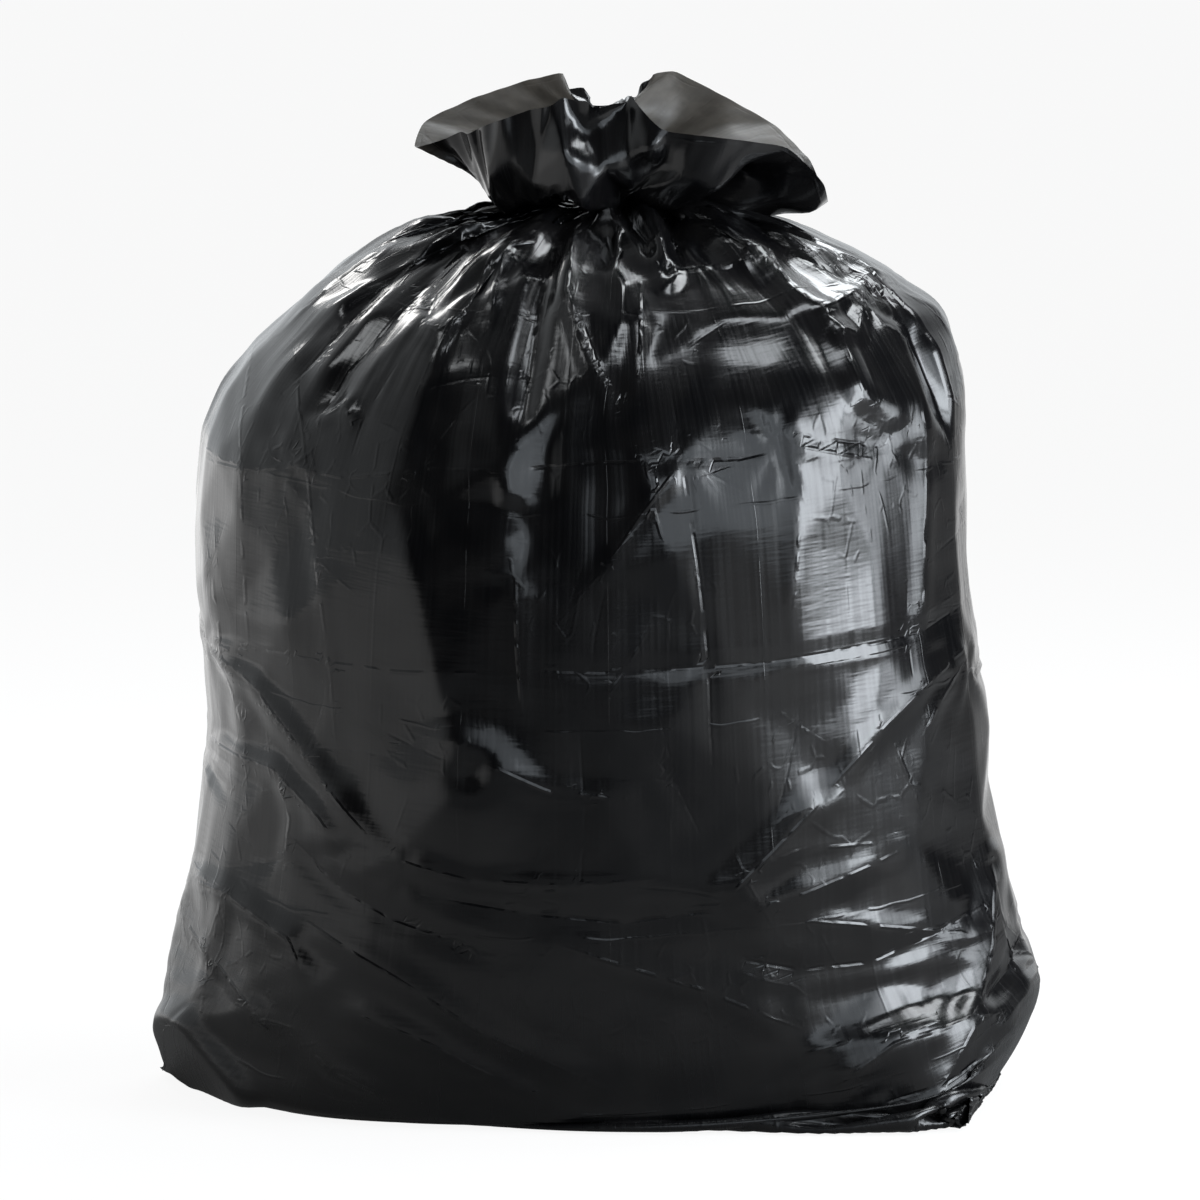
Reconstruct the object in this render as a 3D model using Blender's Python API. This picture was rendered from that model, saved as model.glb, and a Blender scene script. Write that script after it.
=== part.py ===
"""Full bin bag: a filled, tied refuse sack of black polythene film, standing on its base.

Two pieces:
  bin_bag   the sack with its contents shut in: body, gathered neck and the
            flared crown of spare film above the neck, all one sheet
  neck_tie  the strip of black film wound round the neck, its ends twisted
            together at the back

Frame: metres, +Z up, origin on the floor under the middle of the base,
-Y towards the front of the bag, +X to its right.
"""

import math

import bmesh
import bpy

MM = 0.001

# ---------------------------------------------------------------- sizes, mm
FLAT_WIDTH = 737.0       # lay-flat width of the empty sack
FLAT_LENGTH = 991.0      # length of the empty sack, bottom seal to mouth
HEIGHT_NECK = 563.0      # height of the middle of the tie
NECK_X = 8.0             # the neck stands a little to the right
NECK_RX, NECK_RY = 21.0, 18.0
SHOULDER_TOP = 555.0     # where the gathered shoulder becomes the neck
CROWN_FOOT = 571.5       # where the crown starts to open above the tie
CROWN_START = 24.5       # its radius there
SEGMENTS = 96            # points round each section
PLEATS = 16              # gathers that run from the neck down the shoulder

TIE_GAP = 0.45           # clearance between tie and film
TIE_THICK = 2.3
TIE_LOW, TIE_HIGH = 558.0, 568.5
TAIL_LENGTH = 46.0       # twisted ends of the tie, behind the neck
TAIL_RADIUS = 2.1

# Body stations: height, left, right, front, back (half sizes from the axis)
STATIONS = [
    (0.0, 262.0, 245.0, 165.0, 170.0),
    (5.0, 267.0, 253.0, 171.0, 176.0),
    (14.0, 272.0, 262.0, 177.0, 181.0),
    (32.0, 275.0, 274.0, 184.0, 186.0),
    (50.0, 277.0, 280.0, 189.0, 190.0),
    (68.0, 275.0, 276.0, 192.0, 192.0),
    (92.0, 268.0, 266.0, 197.0, 196.0),
    (120.0, 260.0, 257.0, 203.0, 201.0),
    (165.0, 250.0, 248.0, 208.0, 207.0),
    (200.0, 247.0, 243.0, 211.0, 209.0),
    (236.0, 244.0, 240.0, 213.0, 211.0),
    (270.0, 248.0, 235.0, 214.0, 213.0),
    (315.0, 253.0, 230.0, 215.0, 215.0),
    (360.0, 256.0, 227.0, 213.0, 213.0),
    (400.0, 257.0, 228.0, 209.0, 209.0),
    (430.0, 251.0, 229.0, 202.0, 202.0),
    (455.0, 238.0, 228.0, 193.0, 193.0),
    (478.0, 218.0, 219.0, 180.0, 180.0),
    (498.0, 196.0, 204.0, 162.0, 162.0),
    (515.0, 176.0, 179.0, 142.0, 142.0),
    (529.0, 157.0, 151.0, 119.0, 119.0),
    (540.0, 132.0, 124.0, 92.0, 92.0),
    (547.0, 100.0, 94.0, 64.0, 64.0),
    (553.0, 52.0, 54.0, 38.0, 38.0),
]
# Low down the contents push the sealed corner out towards the front right:
# direction and spread in degrees, height over which it fades, how far it stands out
CORNER = (-36.0, 13.0, 92.0, 42.0)
# The other sealed corners are drawn in under the base, which leaves flat slanting
# cuts low on the left and on the right: a point and an outward direction
CUTS = [
    ((-267.0, 10.0, 0.0), (-0.804, -0.344, -0.485)),
    ((252.0, 40.0, 0.0), (0.905, -0.150, -0.395)),
]

# Rim of the crown: angle from +X towards +Y, reach from the neck, rise over it;
# then the reach and rise half way along, where the film bellies out in front
RIM = [
    (0.0, 137.0, -8.0, 69.0, -3.0),
    (12.0, 126.0, 13.0, 63.0, 6.0),
    (26.0, 110.0, 35.0, 55.0, 17.0),
    (42.0, 90.0, 53.0, 45.0, 26.0),
    (58.0, 74.0, 67.0, 38.0, 33.0),
    (71.0, 62.0, 76.0, 33.0, 37.0),
    (90.0, 36.0, 44.0, 25.0, 22.0),
    (106.0, 50.0, 62.0, 28.0, 29.0),
    (118.0, 60.0, 70.0, 32.0, 35.0),
    (134.0, 73.0, 63.0, 37.0, 32.0),
    (151.0, 93.0, 53.0, 46.0, 26.0),
    (166.0, 115.0, 42.0, 58.0, 20.0),
    (179.0, 131.0, 28.0, 66.0, 10.0),
    (191.0, 100.0, 29.0, 64.0, 1.0),
    (205.0, 88.0, 42.0, 70.0, -4.0),
    (222.0, 76.0, 54.0, 72.0, -4.0),
    (240.0, 63.0, 60.0, 68.0, -4.0),
    (256.0, 53.0, 53.0, 58.0, 1.0),
    (271.0, 46.0, 49.0, 46.0, 9.0),
    (285.0, 52.0, 42.0, 46.0, 5.0),
    (297.0, 66.0, 38.0, 52.0, 0.0),
    (311.0, 85.0, 36.0, 58.0, -3.0),
    (325.0, 102.0, 32.0, 64.0, -3.0),
    (339.0, 121.0, 19.0, 69.0, -4.0),
    (350.0, 133.0, 3.0, 70.0, -4.0),
]


def smooth(t):
    t = min(1.0, max(0.0, t))
    return t * t * (3.0 - 2.0 * t)


def spline(points, x, period=None):
    """Catmull-Rom through (x, values...) rows, with uneven spacing allowed."""
    rows = list(points)
    if period:
        rows = [(p[0] - period, *p[1:]) for p in rows[-2:]] + rows
        rows += [(p[0] + period, *p[1:]) for p in rows[2:5]]
    i = max(k for k in range(len(rows) - 1) if rows[k][0] <= x)
    a, b = rows[i], rows[i + 1]
    before = rows[i - 1] if i > 0 else a
    after = rows[i + 2] if i + 2 < len(rows) else b
    span = b[0] - a[0]
    t = (x - a[0]) / span
    made = []
    for k in range(1, len(a)):
        slope_a = (b[k] - before[k]) / (b[0] - before[0]) * span
        slope_b = (after[k] - a[k]) / (after[0] - a[0]) * span
        made.append(
            (2 * t**3 - 3 * t**2 + 1) * a[k]
            + (t**3 - 2 * t**2 + t) * slope_a
            + (-2 * t**3 + 3 * t**2) * b[k]
            + (t**3 - t**2) * slope_b
        )
    return made


def pleat(angle):
    """0 on the crest of a gather, 1 in its valley; the valleys are narrow."""
    wobble = 0.35 * math.sin(3 * angle + 0.6) + 0.2 * math.sin(5 * angle + 2.0)
    return abs(math.sin(0.5 * PLEATS * angle + wobble)) ** 3


def body_ring(height):
    """One section of the body: a squarish oval, fuller at one corner of the base."""
    left, right, front, back = spline(STATIONS, height)
    square = 2.0 / (2.22 - 0.2 * smooth((height - 420.0) / 120.0))
    depth = 0.13 * smooth((height - 405.0) / 110.0)
    depth *= 1.0 - 0.35 * smooth((height - 535.0) / 15.0)
    shift = NECK_X * smooth((height - 300.0) / 250.0)
    ring = []
    for i in range(SEGMENTS):
        a = 2 * math.pi * i / SEGMENTS
        c, s = math.cos(a), math.sin(a)
        rx = right if c > 0 else left
        ry = back if s > 0 else front
        x = rx * math.copysign(abs(c) ** square, c)
        y = ry * math.copysign(abs(s) ** square, s)
        # gathers over the shoulder
        pull = 1.0 - depth * pleat(a)
        # the sealed corner stands out low down, towards the front right
        off = (math.degrees(math.atan2(y, x)) - CORNER[0] + 180.0) % 360.0 - 180.0
        bulge = CORNER[3] * math.exp(-((off / CORNER[1]) ** 2)) * smooth(1.0 - height / CORNER[2])
        corner = bulge / math.hypot(x, y)
        # slack folds down the flanks
        slack = 0.010 * math.sin(5.0 * a + height / 38.0)
        slack *= smooth((height - 20.0) / 60.0) * smooth((400.0 - height) / 150.0)
        slack *= abs(c) ** 3
        k = pull * (1.0 + corner + slack)
        x, y = x * k + shift, y * k
        for (px, py, pz), (nx, ny, nz) in CUTS:
            over = (x - px) * nx + (y - py) * ny + (height - pz) * nz
            if over > 0.0:
                x -= over * nx / (nx * nx + ny * ny)
                y -= over * ny / (nx * nx + ny * ny)
        ring.append((x, y, height))
    return ring


def neck_ring(height, grow=0.0, flute=0.0):
    """The gathered neck, a small oval with shallow flutes."""
    ring = []
    for i in range(SEGMENTS):
        a = 2 * math.pi * i / SEGMENTS
        k = 1.0 - flute * pleat(a)
        ring.append(
            (
                NECK_X + (NECK_RX + grow) * k * math.cos(a),
                (NECK_RY + grow) * k * math.sin(a),
                height,
            )
        )
    return ring


def crown_ring(out, inside=0.0):
    """One ring of the crown. out runs 0 at the neck to 1 at the rim; inside
    brings the ring in from the outer face to the face that looks up."""
    start, middle, end = (1 - out) * (1 - 2 * out), 4 * out * (1 - out), out * (2 * out - 1)
    ring = []
    for i in range(SEGMENTS):
        a = 2 * math.pi * i / SEGMENTS
        reach, rise, half_reach, half_rise = spline(RIM, math.degrees(a), 360.0)
        ripple = 1.0 - 0.09 * pleat(a) * (1.0 - 0.6 * out)
        r = start * CROWN_START + middle * half_reach + end * reach
        r = CROWN_START + (r - CROWN_START) * ripple
        z = start * CROWN_FOOT + middle * (HEIGHT_NECK + half_rise) + end * (HEIGHT_NECK + rise)
        r -= inside * (3.0 + 6.0 * (1.0 - out))
        z += inside * (2.5 + 9.0 * (1.0 - out))
        ring.append((NECK_X + r * math.cos(a), r * math.sin(a), z))
    return ring


def loft(name, rings, collection, closed=False):
    """A closed body through rings of equal point count, capped at both ends,
    or joined end to end."""
    made = bmesh.new()
    rows = [[made.verts.new([c * MM for c in p]) for p in ring] for ring in rings]
    pairs = list(zip(rows, rows[1:]))
    if closed:
        pairs.append((rows[-1], rows[0]))
    n = len(rows[0])
    for low, high in pairs:
        for i in range(n):
            j = (i + 1) % n
            made.faces.new((low[i], low[j], high[j], high[i]))
    if not closed:
        made.faces.new(list(reversed(rows[0])))
        made.faces.new(rows[-1])
    bmesh.ops.recalc_face_normals(made, faces=made.faces)
    mesh = bpy.data.meshes.new(name)
    made.to_mesh(mesh)
    made.free()
    thing = bpy.data.objects.new(name, mesh)
    collection.objects.link(thing)
    return thing


def finish(thing, colour, roughness):
    material = bpy.data.materials.new(thing.name)
    material.use_nodes = True
    shader = material.node_tree.nodes["Principled BSDF"]
    shader.inputs["Base Color"].default_value = (*colour, 1.0)
    shader.inputs["Roughness"].default_value = roughness
    shader.inputs["Metallic"].default_value = 0.0
    thing.data.materials.clear()
    thing.data.materials.append(material)
    thing.data.shade_smooth()
    thing.data.set_sharp_from_angle(angle=math.radians(50))


def make_bag(collection):
    rings = []
    for n, (height, *_) in enumerate(STATIONS):
        rings.append(body_ring(height))
        if n > 4 and n + 1 < len(STATIONS) and STATIONS[n + 1][0] - height > 34.0:
            rings.append(body_ring((height + STATIONS[n + 1][0]) / 2))
    rings.append(neck_ring(SHOULDER_TOP + 1.0, flute=0.10))
    rings.append(neck_ring(HEIGHT_NECK, flute=0.08))
    rings.append(neck_ring(CROWN_FOOT - 1.0, flute=0.08))
    for out in (0.0, 0.10, 0.20, 0.34, 0.50, 0.68, 0.85, 1.0):
        rings.append(crown_ring(out))
    for out in (0.985, 0.82, 0.62, 0.42, 0.24, 0.12):
        rings.append(crown_ring(out, inside=1.0))
    bag = loft("bin_bag", rings, collection)
    finish(bag, (0.010, 0.010, 0.012), 0.22)
    return bag


def tie_section(middle_in, middle_out, low, high):
    """Oval section of the flattened strip: four sides with soft corners."""
    soft = 0.7
    return [
        (middle_in, low + soft),
        (middle_in + soft, low),
        (middle_out - soft, low),
        (middle_out, low + soft),
        (middle_out, (low + high) / 2 - 0.8),
        (middle_out - 0.5, (low + high) / 2),
        (middle_out, (low + high) / 2 + 0.8),
        (middle_out, high - soft),
        (middle_out - soft, high),
        (middle_in + soft, high),
        (middle_in, high - soft),
    ]


def make_tie(collection, cutters):
    """The strip's two turns lie one above the other as one band, and its ends
    are twisted into a tail that leaves the back of the neck."""
    count = 56
    rings = []
    for offset, height in tie_section(TIE_GAP, TIE_GAP + TIE_THICK, TIE_LOW, TIE_HIGH):
        ring = []
        for i in range(count):
            a = 2 * math.pi * i / count
            wave = 0.35 * math.sin(9 * a + height)
            ring.append(
                (
                    NECK_X + (NECK_RX + offset) * math.cos(a),
                    (NECK_RY + offset) * math.sin(a),
                    height + wave,
                )
            )
        rings.append(ring)
    tie = loft("neck_tie", rings, collection, closed=True)

    # twisted tail: a two-lobed rope section that turns as it goes
    turns, steps, around = 3.0, 20, 12
    start_y = NECK_RY + TIE_GAP + 0.9
    rings = []
    for n in range(steps + 1):
        t = n / steps
        y = start_y + TAIL_LENGTH * t
        z = (TIE_LOW + TIE_HIGH) / 2 + 3.0 * math.sin(t * 2.4) - 16.0 * t * t
        taper = 1.0 - 0.35 * smooth((t - 0.8) / 0.2)
        ring = []
        for k in range(around):
            a = 2 * math.pi * k / around
            r = TAIL_RADIUS * taper * (1.0 + 0.32 * math.cos(2 * (a - 2 * math.pi * turns * t)))
            ring.append((NECK_X - 1.5 + r * math.cos(a), y, z + r * math.sin(a)))
        rings.append(ring)
    tail = loft("tie_tail", rings, cutters)
    tail.hide_render = True
    tail.display_type = "WIRE"

    join = tie.modifiers.new("tail", "BOOLEAN")
    join.operation = "UNION"
    join.solver = "EXACT"
    join.object = tail
    finish(tie, (0.012, 0.012, 0.013), 0.35)
    return tie


def main():
    for old in list(bpy.data.objects):
        bpy.data.objects.remove(old)
    parts = bpy.data.collections.new("full_bin_bag")
    cutters = bpy.data.collections.new("helpers")
    bpy.context.scene.collection.children.link(parts)
    bpy.context.scene.collection.children.link(cutters)
    make_bag(parts)
    make_tie(parts, cutters)


main()
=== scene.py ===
import math

import bpy
import numpy as np
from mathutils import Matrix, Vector


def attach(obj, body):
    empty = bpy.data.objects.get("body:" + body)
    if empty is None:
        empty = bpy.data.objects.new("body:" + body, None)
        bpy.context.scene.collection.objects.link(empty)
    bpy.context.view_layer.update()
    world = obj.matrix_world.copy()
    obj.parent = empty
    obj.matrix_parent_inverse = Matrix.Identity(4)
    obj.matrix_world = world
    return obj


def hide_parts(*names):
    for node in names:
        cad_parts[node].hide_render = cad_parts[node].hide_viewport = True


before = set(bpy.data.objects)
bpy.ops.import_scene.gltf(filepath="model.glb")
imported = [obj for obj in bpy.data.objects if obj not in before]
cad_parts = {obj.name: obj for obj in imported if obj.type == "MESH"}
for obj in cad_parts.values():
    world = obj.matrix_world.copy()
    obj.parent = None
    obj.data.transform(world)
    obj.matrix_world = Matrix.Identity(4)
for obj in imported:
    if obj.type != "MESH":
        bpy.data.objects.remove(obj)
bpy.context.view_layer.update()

MM = 0.001

# ======================================================================
# The film: one blown tube, 1474 mm round and 991 mm long, sealed flat at
# v = 0.  It is laid out round the contents, gathered at the neck and opened
# above it, then relaxed as an almost inextensible sheet in three passes,
# each with twice the points of the one before.  Millimetres throughout.
# ======================================================================
f4 = np.float32

FLAT_WIDTH = 737.0
FLAT_LENGTH = 991.0
GIRTH = 2 * FLAT_WIDTH
NECK = (8.0, 0.0, 563.0)
NECK_RX, NECK_RY = 20.0, 17.0
ZTOP = 566.0

# contents: height, then left, right, front and back half sizes
CONTENTS = [
    (0.0, 262.0, 245.0, 165.0, 170.0), (5.0, 267.0, 253.0, 171.0, 176.0),
    (14.0, 272.0, 262.0, 177.0, 181.0), (32.0, 275.0, 276.0, 184.0, 186.0),
    (50.0, 279.0, 287.0, 189.0, 190.0), (66.0, 276.0, 280.0, 192.0, 192.0),
    (90.0, 269.0, 267.0, 197.0, 196.0), (120.0, 260.0, 257.0, 203.0, 201.0),
    (165.0, 250.0, 248.0, 208.0, 207.0), (200.0, 247.0, 243.0, 211.0, 209.0),
    (236.0, 242.0, 240.0, 213.0, 211.0), (265.0, 249.0, 235.0, 214.0, 213.0),
    (315.0, 253.0, 229.0, 215.0, 215.0), (360.0, 257.0, 226.0, 213.0, 213.0),
    (400.0, 258.0, 229.0, 209.0, 209.0), (430.0, 252.0, 230.0, 202.0, 202.0),
    (455.0, 239.0, 229.0, 193.0, 193.0), (478.0, 218.0, 220.0, 180.0, 180.0),
    (498.0, 196.0, 208.0, 162.0, 162.0), (515.0, 176.0, 178.0, 142.0, 142.0),
    (529.0, 160.0, 150.0, 120.0, 120.0), (540.0, 140.0, 126.0, 96.0, 96.0),
    (547.0, 108.0, 100.0, 68.0, 68.0), (553.0, 52.0, 56.0, 38.0, 38.0),
    (558.0, 24.0, 24.0, 21.0, 21.0), (566.0, 21.0, 21.0, 18.0, 18.0),
]
# low down, towards the front right, the contents fill out the sealed corner:
# direction and spread in degrees, height, and how far it stands out
CORNER = (-36.0, 13.0, 92.0, 44.0)

# rim of the crown: angle, reach from the neck, rise over it, film taken per
# millimetre of rim (1 is a smooth sheet, 3 is heavily crumpled); and, where the
# film bellies out and turns back in, the reach and rise half way along it
RIM = [
    (0.0, 139.0, -8.0, 1.08), (10.0, 128.0, 11.0, 1.05), (24.0, 112.0, 33.0, 1.05),
    (40.0, 92.0, 52.0, 1.05), (56.0, 76.0, 66.0, 1.05), (70.0, 64.0, 77.0, 1.08),
    (78.0, 50.0, 66.0, 3.2), (90.0, 30.0, 42.0, 4.6, 16.0, 22.0), (103.0, 46.0, 56.0, 3.4, 22.0, 26.0),
    (116.0, 60.0, 72.0, 1.2), (132.0, 72.0, 64.0, 1.05), (150.0, 92.0, 54.0, 1.05),
    (166.0, 116.0, 42.0, 1.05), (179.0, 133.0, 29.0, 1.08), (190.0, 98.0, 26.0, 1.6, 62.0, -4.0),
    (204.0, 88.0, 42.0, 3.0, 78.0, -17.0), (222.0, 76.0, 54.0, 4.0, 80.0, -19.0), (240.0, 62.0, 63.0, 4.4, 74.0, -18.0),
    (256.0, 52.0, 52.0, 5.0, 60.0, -8.0), (271.0, 45.0, 50.0, 5.4, 46.0, 4.0), (284.0, 50.0, 42.0, 3.4, 46.0, 0.0),
    (296.0, 64.0, 38.0, 1.4, 54.0, -6.0), (310.0, 84.0, 37.0, 1.15, 60.0, -9.0), (324.0, 100.0, 34.0, 1.12, 66.0, -6.0),
    (338.0, 120.0, 21.0, 1.10, 72.0, -6.0), (350.0, 134.0, 2.0, 1.08, 72.0, -4.0),
]
START = 0.0                          # the tube's edges lie right and left
EAR_R = (226.0, -168.0, 4.0)         # sealed corner, turned forward on the floor
EAR_L = (-120.0, 4.0, 3.0)           # sealed corner, tucked under
BASE = 211.0                         # film between the seal and the base's edge
LIFT = 40.0                          # how much less of it the two sides take

# the sealed corners draw the film in under the base: planes that cut them off,
# as a point and an outward direction
CUTS = [
    ((-267.0, 10.0, 0.0), (-0.804, -0.344, -0.485)),
    ((252.0, 40.0, 0.0), (0.905, -0.150, -0.395)),
]
# highest line of the crown seen from the front: offset from the neck, rise
SKYLINE = [(-140, 14), (-128, 28), (-118, 36), (-108, 45), (-90, 53), (-64, 62), (-39, 70), (-33, 71),
           (-25, 68), (-14, 50), (-8, 47), (8, 50), (13, 62), (19, 78), (28, 75),
           (36, 69), (51, 61), (69, 52), (92, 43), (104, 34), (118, 26), (130, 9), (136, -11), (150, -20)]


def smooth(t):
    t = np.clip(t, 0.0, 1.0)
    return t * t * (3.0 - 2.0 * t)


def shift_of(z):
    return NECK[0] * smooth((z - 300.0) / 250.0)


NZ, NA = 190, 256


def contents_table():
    st = np.array(CONTENTS)
    zs = np.linspace(0, ZTOP, NZ)
    left, right, front, back = [np.interp(zs, st[:, 0], st[:, k]) for k in (1, 2, 3, 4)]
    for side in (left, right, front, back):
        for _ in range(2):
            side[1:-1] = 0.25 * side[:-2] + 0.5 * side[1:-1] + 0.25 * side[2:]
    table = np.zeros((NZ, NA))
    ang = np.arange(NA) * 2 * np.pi / NA
    a = np.linspace(0, 2 * np.pi, 1441)[:-1]
    c, s = np.cos(a), np.sin(a)
    for k, z in enumerate(zs):
        square = 2.0 / (2.22 - 0.2 * smooth((z - 420.0) / 120.0) - 0.08 * smooth((90 - z) / 60))
        x = np.where(c > 0, right[k], left[k]) * np.sign(c) * np.abs(c) ** square
        y = np.where(s > 0, back[k], front[k]) * np.sign(s) * np.abs(s) ** square
        th = np.unwrap(np.arctan2(y, x))
        r = np.hypot(x, y)
        off = (np.degrees(th) - CORNER[0] + 180) % 360 - 180
        r += CORNER[3] * np.exp(-(off / CORNER[1]) ** 2) * smooth(1 - z / CORNER[2])
        table[k] = np.interp(ang, np.r_[th - 2 * np.pi, th, th + 2 * np.pi], np.r_[r, r, r])
    return zs, ang, table


ZS, ANG, TABLE = contents_table()
SKY = np.array(SKYLINE, float)
T_R = TABLE.astype(f4).ravel()
T_S = np.gradient(TABLE, ZS, axis=0).astype(f4).ravel()


def cubic(x, y, at):
    m = np.gradient(y, x)
    i = np.clip(np.searchsorted(x, at, side="right") - 1, 0, len(x) - 2)
    h = x[i + 1] - x[i]
    t = (at - x[i]) / h
    return ((2 * t**3 - 3 * t**2 + 1) * y[i] + (t**3 - 2 * t**2 + t) * h * m[i]
            + (-2 * t**3 + 3 * t**2) * y[i + 1] + (t**3 - t**2) * h * m[i + 1])


def rim_at(deg):
    rows = []
    for s in (-360, 0, 360):
        for a, r, z, k, *half in RIM:
            rows.append((a + s, r, z, k, *(half or (0.5 * r, 0.5 * z))))
    rows = np.array(rows)
    return [cubic(rows[:, 0], rows[:, 1], deg), cubic(rows[:, 0], rows[:, 2], deg),
            np.interp(deg, rows[:, 0], rows[:, 3]),
            np.interp(deg, rows[:, 0], rows[:, 4]), np.interp(deg, rows[:, 0], rows[:, 5])]


def ring_points(z, frac):
    k = min(max(z / ZTOP * (NZ - 1), 0), NZ - 1.001)
    i = int(k)
    r = TABLE[i] * (i + 1 - k) + TABLE[i + 1] * (k - i)
    a = np.linspace(0, 2 * np.pi, 1025) + START
    r = np.interp(a % (2 * np.pi), np.r_[ANG, 2 * np.pi], np.r_[r, r[0]])
    x, y = r * np.cos(a), r * np.sin(a)
    s = np.r_[0, np.cumsum(np.hypot(np.diff(x), np.diff(y)))]
    s /= s[-1]
    px, py = np.interp(frac, s, x), np.interp(frac, s, y)
    return np.stack([px + shift_of(z), py, np.full_like(px, z)])


def arc(t, a, half, b):
    """Parabola from a to b through half."""
    return (1 - t) ** 2 * a + 2 * t * (1 - t) * (2 * half - 0.5 * (a + b)) + t ** 2 * b


def lay_out(NU, NV, seed=3):
    """The film as it starts: up the outside of the contents, through the neck,
    out to the rim of the crown."""
    rng = np.random.default_rng(seed)
    frac = np.arange(NU) / NU
    heights = np.r_[3, 8, 16, 28, np.linspace(45, 420, 26), np.linspace(430, 556, 24), 563]
    path = np.stack([ring_points(z, frac) for z in heights])
    step = np.sqrt((np.diff(path, axis=0) ** 2).sum(1))
    s = np.concatenate([np.zeros((1, NU)), np.cumsum(step, axis=0)])
    total = s[-1]
    edge = path[0]
    side = np.abs(edge[0]) / np.sqrt(edge[0] ** 2 + edge[1] ** 2)
    vb = BASE - LIFT * side ** 3
    vn = vb + total * 1.004
    for _ in range(3):
        vn = 0.25 * np.roll(vn, 1) + 0.5 * vn + 0.25 * np.roll(vn, -1)
    # distance along the film from the nearer edge of the flat tube
    near = np.abs(((frac * 2 + 0.5) % 1.0) - 0.5) * FLAT_WIDTH
    sn = np.clip(near / (BASE * 1.02), 1e-3, 1.0)
    v = np.linspace(0, FLAT_LENGTH, NV)
    X = np.zeros((3, NV, NU))

    deg = np.linspace(0.0, 360.0, 1441)
    reach, rise, take, _, _ = rim_at(deg)
    rx, ry = reach * np.cos(np.radians(deg)), reach * np.sin(np.radians(deg))
    along = np.r_[0, np.sqrt(np.diff(rx) ** 2 + np.diff(ry) ** 2 + np.diff(rise) ** 2)]
    F = np.cumsum(along * take)
    taken = F[-1]
    F /= taken
    azc = np.interp(frac, F, deg)
    reach, rise, take, half_reach, half_rise = rim_at(azc)
    ca, sa = np.cos(np.radians(azc)), np.sin(np.radians(azc))
    rim = np.stack([reach * ca, reach * sa, rise, half_reach * ca, half_reach * sa, half_rise])
    wave = sum(np.sin(2 * np.pi * k * frac + rng.uniform(0, 6.28)) / 3 for k in (9, 14, 19, 23))
    lift = sum(np.sin(2 * np.pi * k * frac + rng.uniform(0, 6.28)) / 3 for k in (8, 13, 17, 25))
    for i in range(NU):
        low = v <= vb[i]
        below = (v <= vn[i]) & ~low
        sv = (v[below] - vb[i]) / (vn[i] - vb[i]) * total[i]
        for c in range(3):
            X[c, below, i] = np.interp(sv, s[:, i], path[:, c, i])
        # under the base: the panels run in to the seal; the film past their
        # ends is a doubled triangle, folded under or turned out
        q = v[low] / vb[i]
        fold = 1.0 - np.maximum(sn[i], q)
        X[1, low, i] = edge[1, i] * np.minimum(1.0, q / sn[i])
        if edge[0, i] > 0:
            X[0, low, i] = edge[0, i] + fold * (EAR_R[0] - 240.0)
            X[1, low, i] += fold * EAR_R[1]
        else:
            X[0, low, i] = edge[0, i] + fold * (EAR_L[0] + 262.0)
        X[2, low, i] = 3.0 + 1.5 * (q > sn[i])
        up = v > vn[i]
        length = FLAT_LENGTH - vn[i]
        t = (v[up] - vn[i]) / length
        a = math.radians(azc[i])
        base = (17 * math.cos(a), 14 * math.sin(a), 0.0)
        for c in range(3):
            X[c, up, i] = NECK[c] + arc(t, base[c], rim[3 + c, i], rim[c, i])
        amp = 9.0 * t * max(0.0, take[i] - 1.0) / 1.6
        X[0, up, i] += amp * wave[i] * math.cos(a)
        X[1, up, i] += amp * wave[i] * math.sin(a)
        X[2, up, i] += amp * lift[i] * 0.8
    return X.astype(f4), vn, azc, rim, take, taken


def pull(A, B, rest, k_long, k_short):
    """Bring pairs of points to their distance in the flat film."""
    d = B - A
    L = np.sqrt(d[0] * d[0] + d[1] * d[1] + d[2] * d[2]) + f4(1e-6)
    q = 1 - rest / L
    q = np.where(q > 0, q * f4(k_long * 0.5), q * f4(k_short * 0.5))
    d *= q
    A += d
    B -= d


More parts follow.
